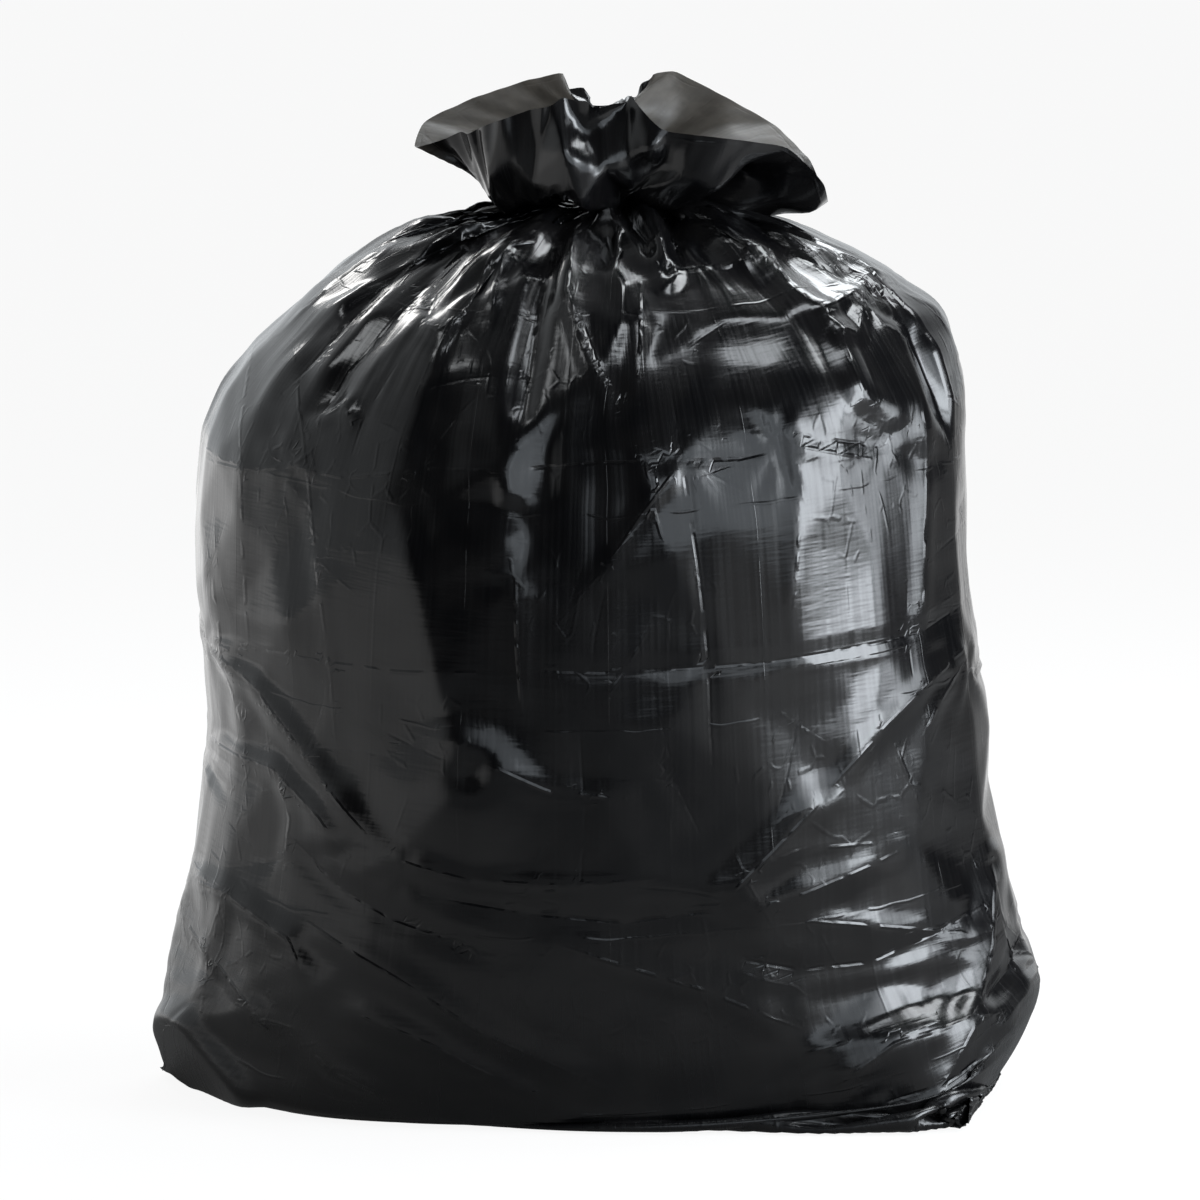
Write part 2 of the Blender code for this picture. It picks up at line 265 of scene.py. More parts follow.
class Film:
    def __init__(self, X, vn, azc, rim, take, level):
        self.X = np.ascontiguousarray(X, dtype=f4)
        self.P = self.X.copy()
        _, self.NV, self.NU = X.shape
        self.level = level
        self.azc, self.rim, self.take = azc, rim, take
        self.du, self.dv = GIRTH / self.NU, FLAT_LENGTH / (self.NV - 1)
        self.dd = math.hypot(self.du, self.dv)
        self.u = (np.arange(self.NU) * self.du)[None, :]
        self.v = np.linspace(0, FLAT_LENGTH, self.NV)[:, None]
        self.h = self.v - vn[None, :]
        self.N = np.zeros_like(self.X)
        self.neckw = smooth(1.5 - np.where(self.h < 0, -self.h / 13.0, self.h / 6.0)).astype(f4)
        # the crown's targets
        length = FLAT_LENGTH - vn
        t = np.clip(self.h / length[None, :], 0, 1)
        self.r0 = int(np.where(t.max(1) > 0.3)[0][0])
        tt = t[self.r0:]
        flat = np.clip((1.45 - take) / 0.3, 0, 1)[None, :]
        self.single = flat
        keep = 0.10 * flat + (0.05, 0.03, 0.008)[level] * (1 - flat)
        self.keep = (keep * smooth((tt - 0.3) / 0.5)).astype(f4)
        self.goal = (np.array(NECK)[:, None, None] + arc(tt[None], 0.0, rim[3:, None, :], rim[:3, None, :])).astype(f4)
        self.stiff = (flat * smooth((tt - 0.15) / 0.2)).astype(f4)
        # crumpled film starts short, so that it wrinkles finely as it is let out
        short = (0.20, 0.10, 0.0)[level]
        self.size = (1 - short * (1 - flat) * smooth((self.h - 16) / 30.0)).astype(f4)
        self.m = int(np.where(self.v[:, 0] < vn.min() - 6)[0][-1])
        self.low = int(np.where(self.v[:, 0] < 300)[0][-1])

    def stretch(self, k_long=1.0, k_short=0.9, k_diag=0.6, bend=0.05):
        X, n, m = self.X, self.NU, self.NV
        dv, du, dd = self.size * f4(self.dv), self.size * f4(self.du), self.size * f4(self.dd)
        pull(X[:, 0:m - 1:2], X[:, 1:m:2], dv[0:m - 1:2], k_long, k_short)
        pull(X[:, 1:m - 1:2], X[:, 2:m:2], dv[1:m - 1:2], k_long, k_short)
        pull(X[:, :, 0::2], X[:, :, 1::2], du[:, 0::2], k_long, k_short)
        pull(X[:, :, 1:n - 1:2], X[:, :, 2:n:2], du[:, 1:n - 1:2], k_long, k_short)
        pull(X[:, :, n - 1:n], X[:, :, 0:1], du[:, n - 1:n], k_long, k_short)
        for r in (0, 1):
            A, B, D = X[:, r:m - 1:2], X[:, r + 1:m:2], dd[r:m - 1:2]
            pull(A[:, :, :-1], B[:, :, 1:], D[:, :-1], k_diag, k_diag)
            pull(A[:, :, -1:], B[:, :, :1], D[:, -1:], k_diag, k_diag)
            pull(A[:, :, 1:], B[:, :, :-1], D[:, 1:], k_diag, k_diag)
            pull(A[:, :, :1], B[:, :, -1:], D[:, :1], k_diag, k_diag)
        du, dv = f4(self.du), f4(self.dv)
        Y = X.reshape(3, m, n // 4, 4)
        pull(Y[..., 0:2], Y[..., 2:4], 2 * du, 0.0, bend)
        pull(Y[:, :, :-1, 2:4], Y[:, :, 1:, 0:2], 2 * du, 0.0, bend)
        pull(Y[:, :, -1, 2:4], Y[:, :, 0, 0:2], 2 * du, 0.0, bend)
        for r in (0, 1, 2, 3):
            pull(X[:, r:m - 2:4], X[:, r + 2:m:4], 2 * dv, 0.0, bend)

    def stiffen(self, k):
        """Smooth sheets of the crown resist folds finer than their own size."""
        s = 3 << self.level
        Y = self.X[:, self.r0:]
        d = np.roll(Y, -s, 2) - Y
        L = np.sqrt((d * d).sum(0)) + f4(1e-6)
        w = self.stiff * np.roll(self.stiff, -s, 1)
        q = np.maximum(f4(s * self.du * 0.99) / L - 1, f4(0)) * w * f4(k)
        d *= q
        Y -= d
        Y += np.roll(d, s, 2)

    def normals(self):
        X, N = self.X, self.N
        du = np.roll(X, -1, 2) - np.roll(X, 1, 2)
        dv = np.empty_like(X)
        dv[:, 1:-1] = X[:, 2:] - X[:, :-2]
        dv[:, 0], dv[:, -1] = X[:, 1] - X[:, 0], X[:, -1] - X[:, -2]
        N[0] = du[1] * dv[2] - du[2] * dv[1]
        N[1] = du[2] * dv[0] - du[0] * dv[2]
        N[2] = du[0] * dv[1] - du[1] * dv[0]
        N /= np.sqrt((N * N).sum(0)) + f4(1e-9)
        return N

    def wrap(self, friction):
        """Keep the body between its inner and outer offset from the contents."""
        m = self.m
        Y = self.X[:, :m]
        z = Y[2]
        dx = Y[0] - shift_of(z).astype(f4)
        dy = Y[1]
        r = np.sqrt(dx * dx + dy * dy) + f4(1e-6)
        ka = np.arctan2(dy, dx) * f4(NA / (2 * np.pi))
        ka = np.where(ka < 0, ka + f4(NA), ka)
        ia = ka.astype(np.int32)
        fa = ka - ia.astype(f4)
        ia = np.where(ia >= NA, 0, ia)
        ib = np.where(ia + 1 >= NA, 0, ia + 1)
        kz = np.clip(z * f4((NZ - 1) / ZTOP), f4(0), f4(NZ - 1.01))
        iz = kz.astype(np.int32)
        fz = kz - iz.astype(f4)
        flat = iz * NA
        low = T_R.take(flat + ia) * (1 - fa) + T_R.take(flat + ib) * fa
        high = T_R.take(flat + NA + ia) * (1 - fa) + T_R.take(flat + NA + ib) * fa
        R = low + (high - low) * fz
        slope = T_S.take(flat + ia)
        g = 1 / np.sqrt(1 + slope * slope)
        f = (r - R) * g
        deep = f - self.inner
        proud = f - self.outer
        inside = (deep < 0) & (z < f4(ZTOP - 12)) & (z > f4(self.zbase - 4))
        s = np.where(inside, -deep, f4(0))
        s = np.where((proud > 0) & self.hold, -proud * f4(0.3), s)
        under = inside & (z - f4(self.zbase) < -deep) & (z < 30)
        s = np.where(under, f4(0), s) * g
        q = s / r
        Y[0] += q * dx
        Y[1] += q * dy
        Y[2] += np.where(under, (f4(self.zbase) - z) * f4(0.5), -s * slope)
        if friction:
            P = self.P[:, :m]
            w = np.where(inside & ~under, f4(friction), f4(0))
            P += (Y - P) * w

    def floor(self):
        z = self.X[2]
        hit = z < 1.2
        z[hit] = 1.2
        for c in (0, 1):
            self.P[c][hit] += (self.X[c][hit] - self.P[c][hit]) * f4(0.5)

    def seal(self, rows):
        X, n = self.X, self.NU
        i = np.arange(1, n // 2)
        for r in range(rows):
            mid = 0.5 * (X[:, r, i] + X[:, r, n - i])
            X[:, r, i] = mid
            X[:, r, n - i] = mid

    def corners(self, k):
        X, n = self.X, self.NU
        for col, at in ((0, EAR_R), (n // 2, EAR_L)):
            X[:, 0, col] += (np.array(at, f4) - X[:, 0, col]) * f4(k)

    def neck(self, k):
        w = self.neckw
        rows = np.where(w.max(1) > 0)[0]
        a, b = rows[0], rows[-1] + 1
        Y, w = self.X[:, a:b], w[a:b] * f4(k)
        dx, dy = (Y[0] - f4(NECK[0])) / f4(NECK_RX), Y[1] / f4(NECK_RY)
        r = np.sqrt(dx * dx + dy * dy) + f4(1e-6)
        q = np.where(r > 1, 1 / r - 1, f4(0)) * w
        Y[0] += dx * f4(NECK_RX) * q
        Y[1] += dy * f4(NECK_RY) * q
        Y[2] += (f4(NECK[2]) + self.h[a:b].astype(f4) - Y[2]) * w * f4(0.5)

    def crown(self, k=1.0):
        X = self.X
        X[:, self.r0:] += (self.goal - X[:, self.r0:]) * (self.keep * f4(k))
        a = self.m
        top = f4(NECK[2]) + np.interp(X[0, a:] - NECK[0], SKY[:, 0], SKY[:, 1]).astype(f4)
        over = X[2, a:] - top
        X[2, a:] -= np.where(over > 0, over * f4(0.25), f4(0))

    def cut(self):
        m = self.low
        Y = self.X[:, :m]
        for (px, py, pz), (nx, ny, nz) in CUTS:
            d = (Y[0] - f4(px)) * f4(nx) + (Y[1] - f4(py)) * f4(ny) + (Y[2] - f4(pz)) * f4(nz)
            d = np.where(d > 0, d * f4(0.5), f4(0))
            Y[0] -= d * f4(nx)
            Y[1] -= d * f4(ny)
            Y[2] -= d * f4(nz)


def refine(X, *lines):
    """Twice the points each way."""
    a, b, c, d = np.roll(X, 1, 2), X, np.roll(X, -1, 2), np.roll(X, -2, 2)
    out = np.empty((3, X.shape[1], X.shape[2] * 2), X.dtype)
    out[..., 0::2], out[..., 1::2] = X, (9 * (b + c) - a - d) / 16
    pad = np.concatenate([2 * out[:, :1] - out[:, 1:2], out, 2 * out[:, -1:] - out[:, -2:-1]], axis=1)
    full = np.empty((3, out.shape[1] * 2 - 1, out.shape[2]), X.dtype)
    full[:, 0::2] = out
    full[:, 1::2] = (9 * (pad[:, 1:-2] + pad[:, 2:-1]) - pad[:, :-3] - pad[:, 3:]) / 16
    made = []
    for y in lines:
        twice = np.empty(y.shape[:-1] + (y.shape[-1] * 2,))
        twice[..., 0::2], twice[..., 1::2] = y, 0.5 * (y + np.roll(y, -1, -1))
        made.append(twice)
    return full, made


FRONT = 1105.5                        # u at the middle of the front
FOLDS_U = sorted([FRONT + s for s in (-238, -172, -53, 62, 130, 250)]
                 + [0, 46, 138, 230, 322, 414, 506, 598, 690, 737, 802])


def body_offset(F, seed=11):
    """How far the film's skin stands from the contents' smooth shape: panels
    that are flatter between the factory folds, and soft lumps."""
    u = F.u[:, :] + 0 * F.v
    v = F.v + 0 * F.u
    folds = np.array([f - GIRTH for f in FOLDS_U[-1:]] + FOLDS_U + [f + GIRTH for f in FOLDS_U[:1]])
    k = np.clip(np.searchsorted(folds, u, side="right") - 1, 0, len(folds) - 2)
    t = (u - folds[k]) / (folds[k + 1] - folds[k])
    width = (folds[k + 1] - folds[k]) / 92.0
    body = smooth((v - 230) / 60.0) * smooth((790 - v) / 120.0)
    off = -2.6 * np.clip(width, 0.4, 1.3) ** 2 * 4 * t * (1 - t) * body
    w = (v / (FLAT_LENGTH / 8)) % 1.0
    off += -1.2 * 4 * w * (1 - w) * body
    rng = np.random.default_rng(seed)
    for _ in range(46):
        cu, cv = rng.uniform(0, GIRTH), rng.uniform(240, 760)
        su, sv = rng.uniform(26, 62), rng.uniform(26, 70)
        tilt = rng.uniform(-0.8, 0.8)
        amp = rng.choice([-1, 1]) * rng.uniform(1.2, 4.2)
        d = (u - cu + GIRTH / 2) % GIRTH - GIRTH / 2
        e = v - cv + tilt * d
        off += amp * np.exp(-(d / su) ** 2 - (e / sv) ** 2) * body
    return off


def make_film(levels=3, steps=(1500, 1200, 1500), log=None):
    X, vn, azc, rim, take, taken = lay_out(92, 63)
    if log:
        log("film taken by the rim %.0f of %.0f" % (taken, GIRTH))
    X += np.random.default_rng(5).normal(0, 0.8, X.shape).astype(f4)
    F = None
    for level in range(levels):
        if level:
            X, (vn, azc, rim, take) = refine(F.X, vn, azc, rim, take)
            azc[-1] = 359.9
        F = Film(X, vn, azc, rim, take, level)
        F.zbase = 1.8
        if level:
            jolt = np.random.default_rng(40 + level).normal(0, 0.5, F.X.shape)
            F.X += (jolt * (1 - F.single) * smooth((F.h - 16) / 20.0)).astype(f4)
            F.P = F.X.copy()
        m = F.m
        off = body_offset(F)[:m]
        v = F.v[:m]
        sh = smooth((v - 690) / 110.0)
        F.inner = (off - 4.5 - 7.0 * sh).astype(f4)
        F.outer = (off + 1.5 + 6.5 * sh).astype(f4)
        F.hold = (v > 185)
        grav = np.where(F.h > 0, 0.0006, 0.004).astype(f4)
        press = (0.02, 0.006, 0.002)[level]
        bend = (0.03, 0.05, 0.05)[level]
        n = steps[level]
        for it in range(n):
            f = it / n
            if it % 4 == 0:
                F.normals()
            d = F.X - F.P
            d *= f4(0.96 if f < 0.75 else 0.85)
            np.clip(d, -1.5, 1.5, out=d)
            F.P[...] = F.X
            F.X += d
            F.X[2] -= grav
            F.X[:, :m] += F.N[:, :m] * f4(press)
            F.crown(1.0 if level < 2 else 0.5)
            F.corners(0.2)
            if it % 2 == 1:
                F.cut()
            F.stretch(1.0, 0.9, 0.6, bend)
            if it % 2 == 0:
                F.stiffen(0.12)
            F.neck(0.6)
            if it % 2 == 0:
                F.wrap(0.05)
            F.floor()
            F.seal(1 + (1 << level) // 2)
        if log:
            Y = F.X
            eh = np.sqrt(((np.roll(Y, -1, 2) - Y) ** 2).sum(0)) / F.du
            ev = np.sqrt((np.diff(Y, axis=1) ** 2).sum(0)) / F.dv
            log("level %d round %.3f..%.3f mean %.3f up %.3f..%.3f mean %.3f box %s %s" % (
                level, eh.min(), eh.max(), eh.mean(), ev.min(), ev.max(), ev.mean(),
                Y.reshape(3, -1).min(1).round(0), Y.reshape(3, -1).max(1).round(0)))
    return F


# ======================================================================
# Set creases.  Film that has been folded flat, filled and handled bends in
# straight creases with nearly flat facets between them: the body is drawn
# towards a net of facets, whose edges are the factory folds and the creases
# seen on it, and finer ridges and puckers are raised along them.
# ======================================================================
# creases of the front, from the front: x, z and how far the point stands out
CREASES = [
    [(-114, 375, 0), (-102, 307, 1), (-95, 275, 2), (-76, 225, 5), (-114, 211, 2), (-112, 181, 0), (-128, 172, 1), (-151, 172, 2)],
    [(-243, 290, -2), (-209, 267, 1), (-186, 240, 2), (-156, 203, 2), (-138, 183, 1)],
    [(-242, 225, -2), (-196, 218, 2), (-168, 193, 3), (-151, 172, 2)],
    [(-252, 140, 2), (-229, 139, 3), (-188, 116, 3), (-176, 88, 4), (-164, 62, 1)],
    [(-218, 69, -1), (-185, 60, -2), (-164, 36, 0), (-125, 18, 0)],
    [(-243, 205, 2), (-225, 164, 3), (-208, 146, 1)],
    [(-128, 172, 1), (-78, 159, 0), (-24, 157, 0)],
    [(-163, 80, 0), (-102, 56, 1), (-24, 16, 0)],
    [(-18, 453, 2), (-47, 425, 7), (-54, 403, 8), (-58, 388, 8), (-50, 337, 2)],
    [(-18, 453, 2), (-30, 420, -4), (-34, 398, -5), (-50, 337, 2)],
    [(49, 412, 2), (24, 379, 0), (1, 344, 1)],
    [(23, 444, 0), (27, 411, 2), (31, 386, 1), (39, 357, 0)],
    [(103, 491, 0), (105, 467, 2), (107, 416, -2)],
    [(103, 491, 0), (72, 445, 0), (66, 414, 0)],
    [(119, 425, 2), (169, 414, -1), (183, 423, 2), (194, 440, 3)],
    [(144, 479, 2), (153, 464, 3), (153, 449, 3), (175, 436, 3), (194, 440, 3)],
    [(194, 440, 3), (198, 412, 3), (196, 355, 3), (195, 302, 2)],
    [(118, 403, 1), (118, 362, 1), (116, 325, 1), (122, 297, 1)],
    [(169, 287, 3), (127, 245, 0), (98, 219, 1), (117, 206, 3), (135, 206, 4), (165, 261, 4), (169, 287, 3)],
    [(133, 206, 4), (169, 245, 4), (194, 266, 4), (227, 288, 2)],
    [(169, 245, 4), (220, 273, 2), (231, 265, 1), (198, 251, 3)],
    [(178, 232, 1), (192, 197, 2)],
    [(132, 202, 4), (74, 147, 2), (95, 137, 3), (123, 149, 3), (177, 168, 1), (192, 171, 1), (132, 202, 4)],
    [(109, 134, 1), (163, 126, 2), (224, 114, 2)],
    [(98, 117, 1), (145, 108, 1), (200, 81, 2), (156, 58, 2), (95, 65, 1), (98, 117, 1)],
    [(135, 27, 2), (177, 54, 4), (228, 65, 5), (262, 63, 4)],
    [(169, 16, 0), (207, 27, -2), (240, 42, -1)],
    [(224, 114, 2), (228, 75, 2)],
]


def sampled(X, u, v):
    """Points of the film at flat positions u, v."""
    _, m, n = X.shape
    a, b = (u % GIRTH) / GIRTH * n, np.clip(v / FLAT_LENGTH, 0, 1) * (m - 1)
    i, j = a.astype(int) % n, np.minimum(b.astype(int), m - 2)
    fa, fb = a - np.floor(a), b - j
    k = (i + 1) % n
    return ((X[:, j, i] * (1 - fa) + X[:, j, k] * fa) * (1 - fb)
            + (X[:, j + 1, i] * (1 - fa) + X[:, j + 1, k] * fa) * fb)


def softened(A, passes):
    A = A.copy()
    for _ in range(passes):
        A = 0.25 * np.roll(A, 1, -1) + 0.5 * A + 0.25 * np.roll(A, -1, -1)
        B = A.copy()
        B[..., 1:-1, :] = 0.25 * A[..., :-2, :] + 0.5 * A[..., 1:-1, :] + 0.25 * A[..., 2:, :]
        A = B
    return A


def normals_of(A):
    du = np.roll(A, -1, 2) - np.roll(A, 1, 2)
    dv = np.gradient(A, axis=1)
    N = np.stack([du[1] * dv[2] - du[2] * dv[1], du[2] * dv[0] - du[0] * dv[2], du[0] * dv[1] - du[1] * dv[0]])
    return N / (np.sqrt((N * N).sum(0)) + 1e-9)


def ripple(u, v, rng, su, sv, n=9):
    """Smooth random field, roughly -1..1, with these grain lengths."""
    out = 0
    for _ in range(n):
        k = max(1, round(GIRTH / (su * rng.uniform(0.7, 1.6))))
        out = out + np.cos(2 * np.pi * (k * u / GIRTH + v / (sv * rng.uniform(0.7, 1.6)) * rng.choice([-1, 1])) + rng.uniform(0, 6.28))
    return out / math.sqrt(n) * 0.9


def front_points(F, N):
    Y = F.X
    mask = (N[1] < -0.08) & (F.v > 215) & (F.v < 880)
    j, i = np.where(mask)
    return j, i, Y[0, j, i], Y[2, j, i]


def facets(F, seed=21):
    """Net of facets over the body: its corners in the flat, what they stand out by, and the edges laid between them."""
    rng = np.random.default_rng(seed)
    N = F.normals().astype(float)
    j, i, fx, fz = front_points(F, N)
    pts, edges, out = [], [], []

    def add(u, v, h):
        for k, (a, b) in enumerate(pts):
            if abs(a - u) < 3.0 and abs(b - v) < 3.0:
                return k
        pts.append((u, v))
        out.append(h)
        return len(pts) - 1

    def link(a, b):
        """An edge, in steps short enough to follow the body's roundness."""
        (ua, va), (ub, vb) = pts[a], pts[b]
        if abs(ub - ua) > GIRTH / 2:        # either side of where the tube's u starts
            return
        n = max(1, math.ceil(math.hypot(ub - ua, vb - va) / 40.0))
        last = a
        for k in range(1, n + 1):
            t = k / n
            here = b if k == n else add(ua + (ub - ua) * t, va + (vb - va) * t, out[a] * (1 - t) + out[b] * t)
            if here != last:
                edges.append((last, here))
            last = here

    hand = []
    for line in CREASES:
        last = None
        for x, z, h in line:
            k = ((fx - x) ** 2 + (fz - z) ** 2).argmin()
            here = add(i[k] * F.du, j[k] * F.dv, float(h))
            hand.append(here)
            if last is not None and last != here:
                link(last, here)
            last = here
    hand_uv = np.array([pts[k] for k in hand])
    rows = [FLAT_LENGTH / 8 * k for k in (2, 3, 4, 5, 6)] + [215.0, 800.0, 860.0]
    columns = sorted(set(FOLDS_U)) + [GIRTH]
    rows.sort()
    net = {}
    for a, u in enumerate(columns):
        for b, v in enumerate(rows):
            near = np.hypot(hand_uv[:, 0] - u, hand_uv[:, 1] - v).min()
            if near > 16 or u in (0, GIRTH):
                h = rng.normal(0, 1.2)
                if u == GIRTH:
                    h = out[net[0, b]]
                net[a, b] = add(u, v, h)
    for (a, b), k in net.items():
        for c in ((a, b + 1), (a + 1, b)):
            if c in net and rng.random() < (0.8 if c[0] == a else 0.9):
                link(k, net[c])
    for _ in range(2600):
        u, v = rng.uniform(14, GIRTH - 14), rng.uniform(222, 850)
        d = min(math.hypot((a - u), (b - v)) for a, b in pts)
        if d > 34:
            add(u, v, rng.normal(0, 1.4 + 1.9 * float(smooth((430 - v) / 90.0)) if 780 < u < 1440 else 2.2))
    return pts, edges, out


def shoulder_facets(F, seed=27):
    """Long thin facets over the pleats that run down from the neck."""
    rng = np.random.default_rng(seed)
    pts, out = [], []
    for v in np.linspace(640, 888, 9):
        for u in (0.0, GIRTH):
            pts.append((u, v))
            out.append(0.0)
    far = np.array(pts)
    for _ in range(5200):
        u, v = rng.uniform(5, GIRTH - 5), rng.uniform(640, 890)
        near = smooth((v - 660) / 200.0)
        gu, gv = 27 - 18 * near, 52 - 26 * near
        if np.hypot((far[:, 0] - u) / gu, (far[:, 1] - v) / gv).min() > 1:
            pts.append((u, v))
            out.append(rng.normal(0, 2.4))
            far = np.vstack([far, (u, v)])
    return pts, [], out


def crown_facets(F, seed=33):
    """Corners over the crown: far apart on its smooth sheets, close where it
    is crumpled.  Round the tube they are counted along the open rim, so that
    gathered film gets facets as wide as they are long."""
    rng = np.random.default_rng(seed)
    take = np.maximum(F.take, 1.0)
    rim = np.r_[0, np.cumsum(F.du / take)]
    total = rim[-1]
    rim = rim[:-1]
    pts, out = [], []

    def at(U):
        i = int(np.searchsorted(rim, U % total, side="right")) - 1
        return take[i], F.azc[i]

    U = 0.0
    edge = []
    while U < total - 9:
        edge.append(U)
        U += rng.uniform(30, 42) if at(U)[0] < 1.35 else rng.uniform(6, 11)
    for U in edge + [total]:
        plain = at(U)[0] < 1.35
        pts.append((U, FLAT_LENGTH))
        out.append(out[0] if U == total else rng.normal(0, 0.8 if plain else 4.0))
    for v in (866.0, 880.0, 890.0, 902.0, 915.0, 930.0, 945.0, 968.0):
        for U in (0.0, total):
            pts.append((U, v))
            out.append(0.0)
    far = np.array(pts)
    for _ in range(9000):
        U, v = rng.uniform(4, total - 4), rng.uniform(866, 985)
        k, az = at(U)
        plain = k < 1.35
        t = max(0.05, (v - 866) / 125.0)
        tight = 1 / ((1 - t) / 11.8 + t / k) / k
        g = (17 if az > 290 else 24) if plain else 12.5
        gu, gv = g * tight * min(1.0, 0.3 + t), g * min(1.0, 0.55 + t)
        if np.hypot((far[:, 0] - U) / gu, (far[:, 1] - v) / gv).min() > 1:
            pts.append((U, v))
            loose = 0.35 + 0.75 * smooth((v - 905) / 45.0)
            h = rng.normal(0, (2.4 if az > 290 else 1.7) if plain else 4.2 * loose)
            if not plain:
                h += 4.6 * loose * math.sin(v / 6.2 + 2.6 * math.sin(U / 13.0) + 1.7 * math.sin(U / 31.0))
            out.append(h * min(1.0, 0.3 + t * 2))
            far = np.vstack([far, (U, v)])
    return (pts, [], out), np.r_[rim, total]


def evened(A, passes):
    """Smoothed round the tube only."""
    for _ in range(passes):
        A = 0.25 * np.roll(A, 1, -1) + 0.5 * A + 0.25 * np.roll(A, -1, -1)
    return A


def facetted(F):
    edge = 0.92 * smooth((F.v - 150 + 60 * smooth((-190 - F.X[0]) / 30.0)) / 25.0) * smooth((262 - F.v) / 22.0)
    F.X = (F.X + (softened(F.X.astype(float), 34) - F.X) * edge).astype(f4)
    body = smooth((F.v - 225) / 30.0) * smooth((850 - F.v) / 130.0)
    F.X = blended(F, facets(F), softened(F.X.astype(float), 16), 0.93 * body).astype(f4)
    pleats = 0.8 * smooth((F.v - 655) / 70.0) * smooth((886 - F.v) / 22.0)
    F.X = blended(F, shoulder_facets(F), softened(F.X.astype(float), 1), pleats).astype(f4)
    crown = smooth((F.h - 12) / 14.0) * (1.0 - 0.17 * F.single)
    calm = softened(F.X.astype(float), 3)
    even = softened(evened(calm[:, F.m:], 130), 2)
    keep = evened(np.repeat(F.single, F.NV, 0)[None], 4)
    base = calm.copy()
    base[:, F.m:] = even + (calm[:, F.m:] - even) * keep[:, F.m:]
    z = base[2]
    pouch = smooth((F.azc - 178) / 16.0) * smooth((300 - F.azc) / 22.0)
    z = z + 0.36 * np.maximum(z - 566, 0) * pouch[None] * smooth((F.h - 9) / 16.0)
    base[2] = z - 12.0 * smooth((612 - z) / 40.0) * pouch[None] * smooth((F.h - 9) / 16.0)
    lump = 4.0 * np.sin(base[0] / 6.3 + 1.2 * np.sin(z / 7.0)) * np.sin(z / 5.2 + base[0] / 11.0)
    base[1] += lump * pouch[None] * smooth((F.h - 30) / 30.0)
    net, columns = crown_facets(F)
    return blended(F, net, base, crown, columns, lambda A: 0.5 * evened(A, 3) + 0.5 * softened(A, 1) * keep + 0.5 * evened(A, 3) * (1 - keep))


def blended(F, net, smoothX, weight, columns=None, soft=None):
    """The film drawn towards flat facets between the net's corners."""
    columns = np.arange(F.NU + 1) * F.du if columns is None else columns
    from mathutils.geometry import delaunay_2d_cdt
    pts, edges, out = net
    verts, _, faces, origin, _, _ = delaunay_2d_cdt(
        [Vector(p) for p in pts], edges, [], 0, 1e-3, True)
    uv = np.array([(p.x, p.y) for p in verts])
    h = np.zeros(len(uv))
    for k, who in enumerate(origin):
        if who:
            h[k] = out[who[0]]
        else:
            h[k] = 0.0
    N = softened(normals_of(smoothX), 3)
    N /= np.sqrt((N * N).sum(0)) + 1e-9
    u = np.interp(uv[:, 0], columns, np.arange(F.NU + 1) * F.du)
    corner = sampled(smoothX, u, uv[:, 1]) + sampled(N, u, uv[:, 1]) * h
    flat = F.X.astype(float).copy()
    for tri in faces:
        for k in range(1, len(tri) - 1):
            t = (tri[0], tri[k], tri[k + 1])
            (x0, y0), (x1, y1), (x2, y2) = uv[list(t)]
            area = (x1 - x0) * (y2 - y0) - (x2 - x0) * (y1 - y0)
            if abs(area) < 0.2:
                continue
            i0 = int(np.searchsorted(columns, min(x0, x1, x2) - 1e-4))
            i1 = int(np.searchsorted(columns, max(x0, x1, x2) + 1e-4)) - 1
            j0, j1 = int(np.ceil(min(y0, y1, y2) / F.dv - 1e-6)), int(np.floor(max(y0, y1, y2) / F.dv + 1e-6))
            i1, j1 = min(i1, F.NU - 1), min(j1, F.NV - 1)
            if i1 < i0 or j1 < j0:
                continue
            U, V = np.meshgrid(columns[i0:i1 + 1], np.arange(j0, j1 + 1) * F.dv)
            b1 = ((U - x0) * (y2 - y0) - (x2 - x0) * (V - y0)) / area
            b2 = ((x1 - x0) * (V - y0) - (U - x0) * (y1 - y0)) / area
            b0 = 1 - b1 - b2
            inside = (b0 > -1e-6) & (b1 > -1e-6) & (b2 > -1e-6)
            P = sum(b[None] * corner[:, q][:, None, None] for b, q in ((b0, t[0]), (b1, t[1]), (b2, t[2])))
            part = flat[:, j0:j1 + 1, i0:i1 + 1]
            part[:, inside] = P[:, inside]
    return F.X * (1 - weight) + (softened(flat, 1) if soft is None else soft(flat)) * weight


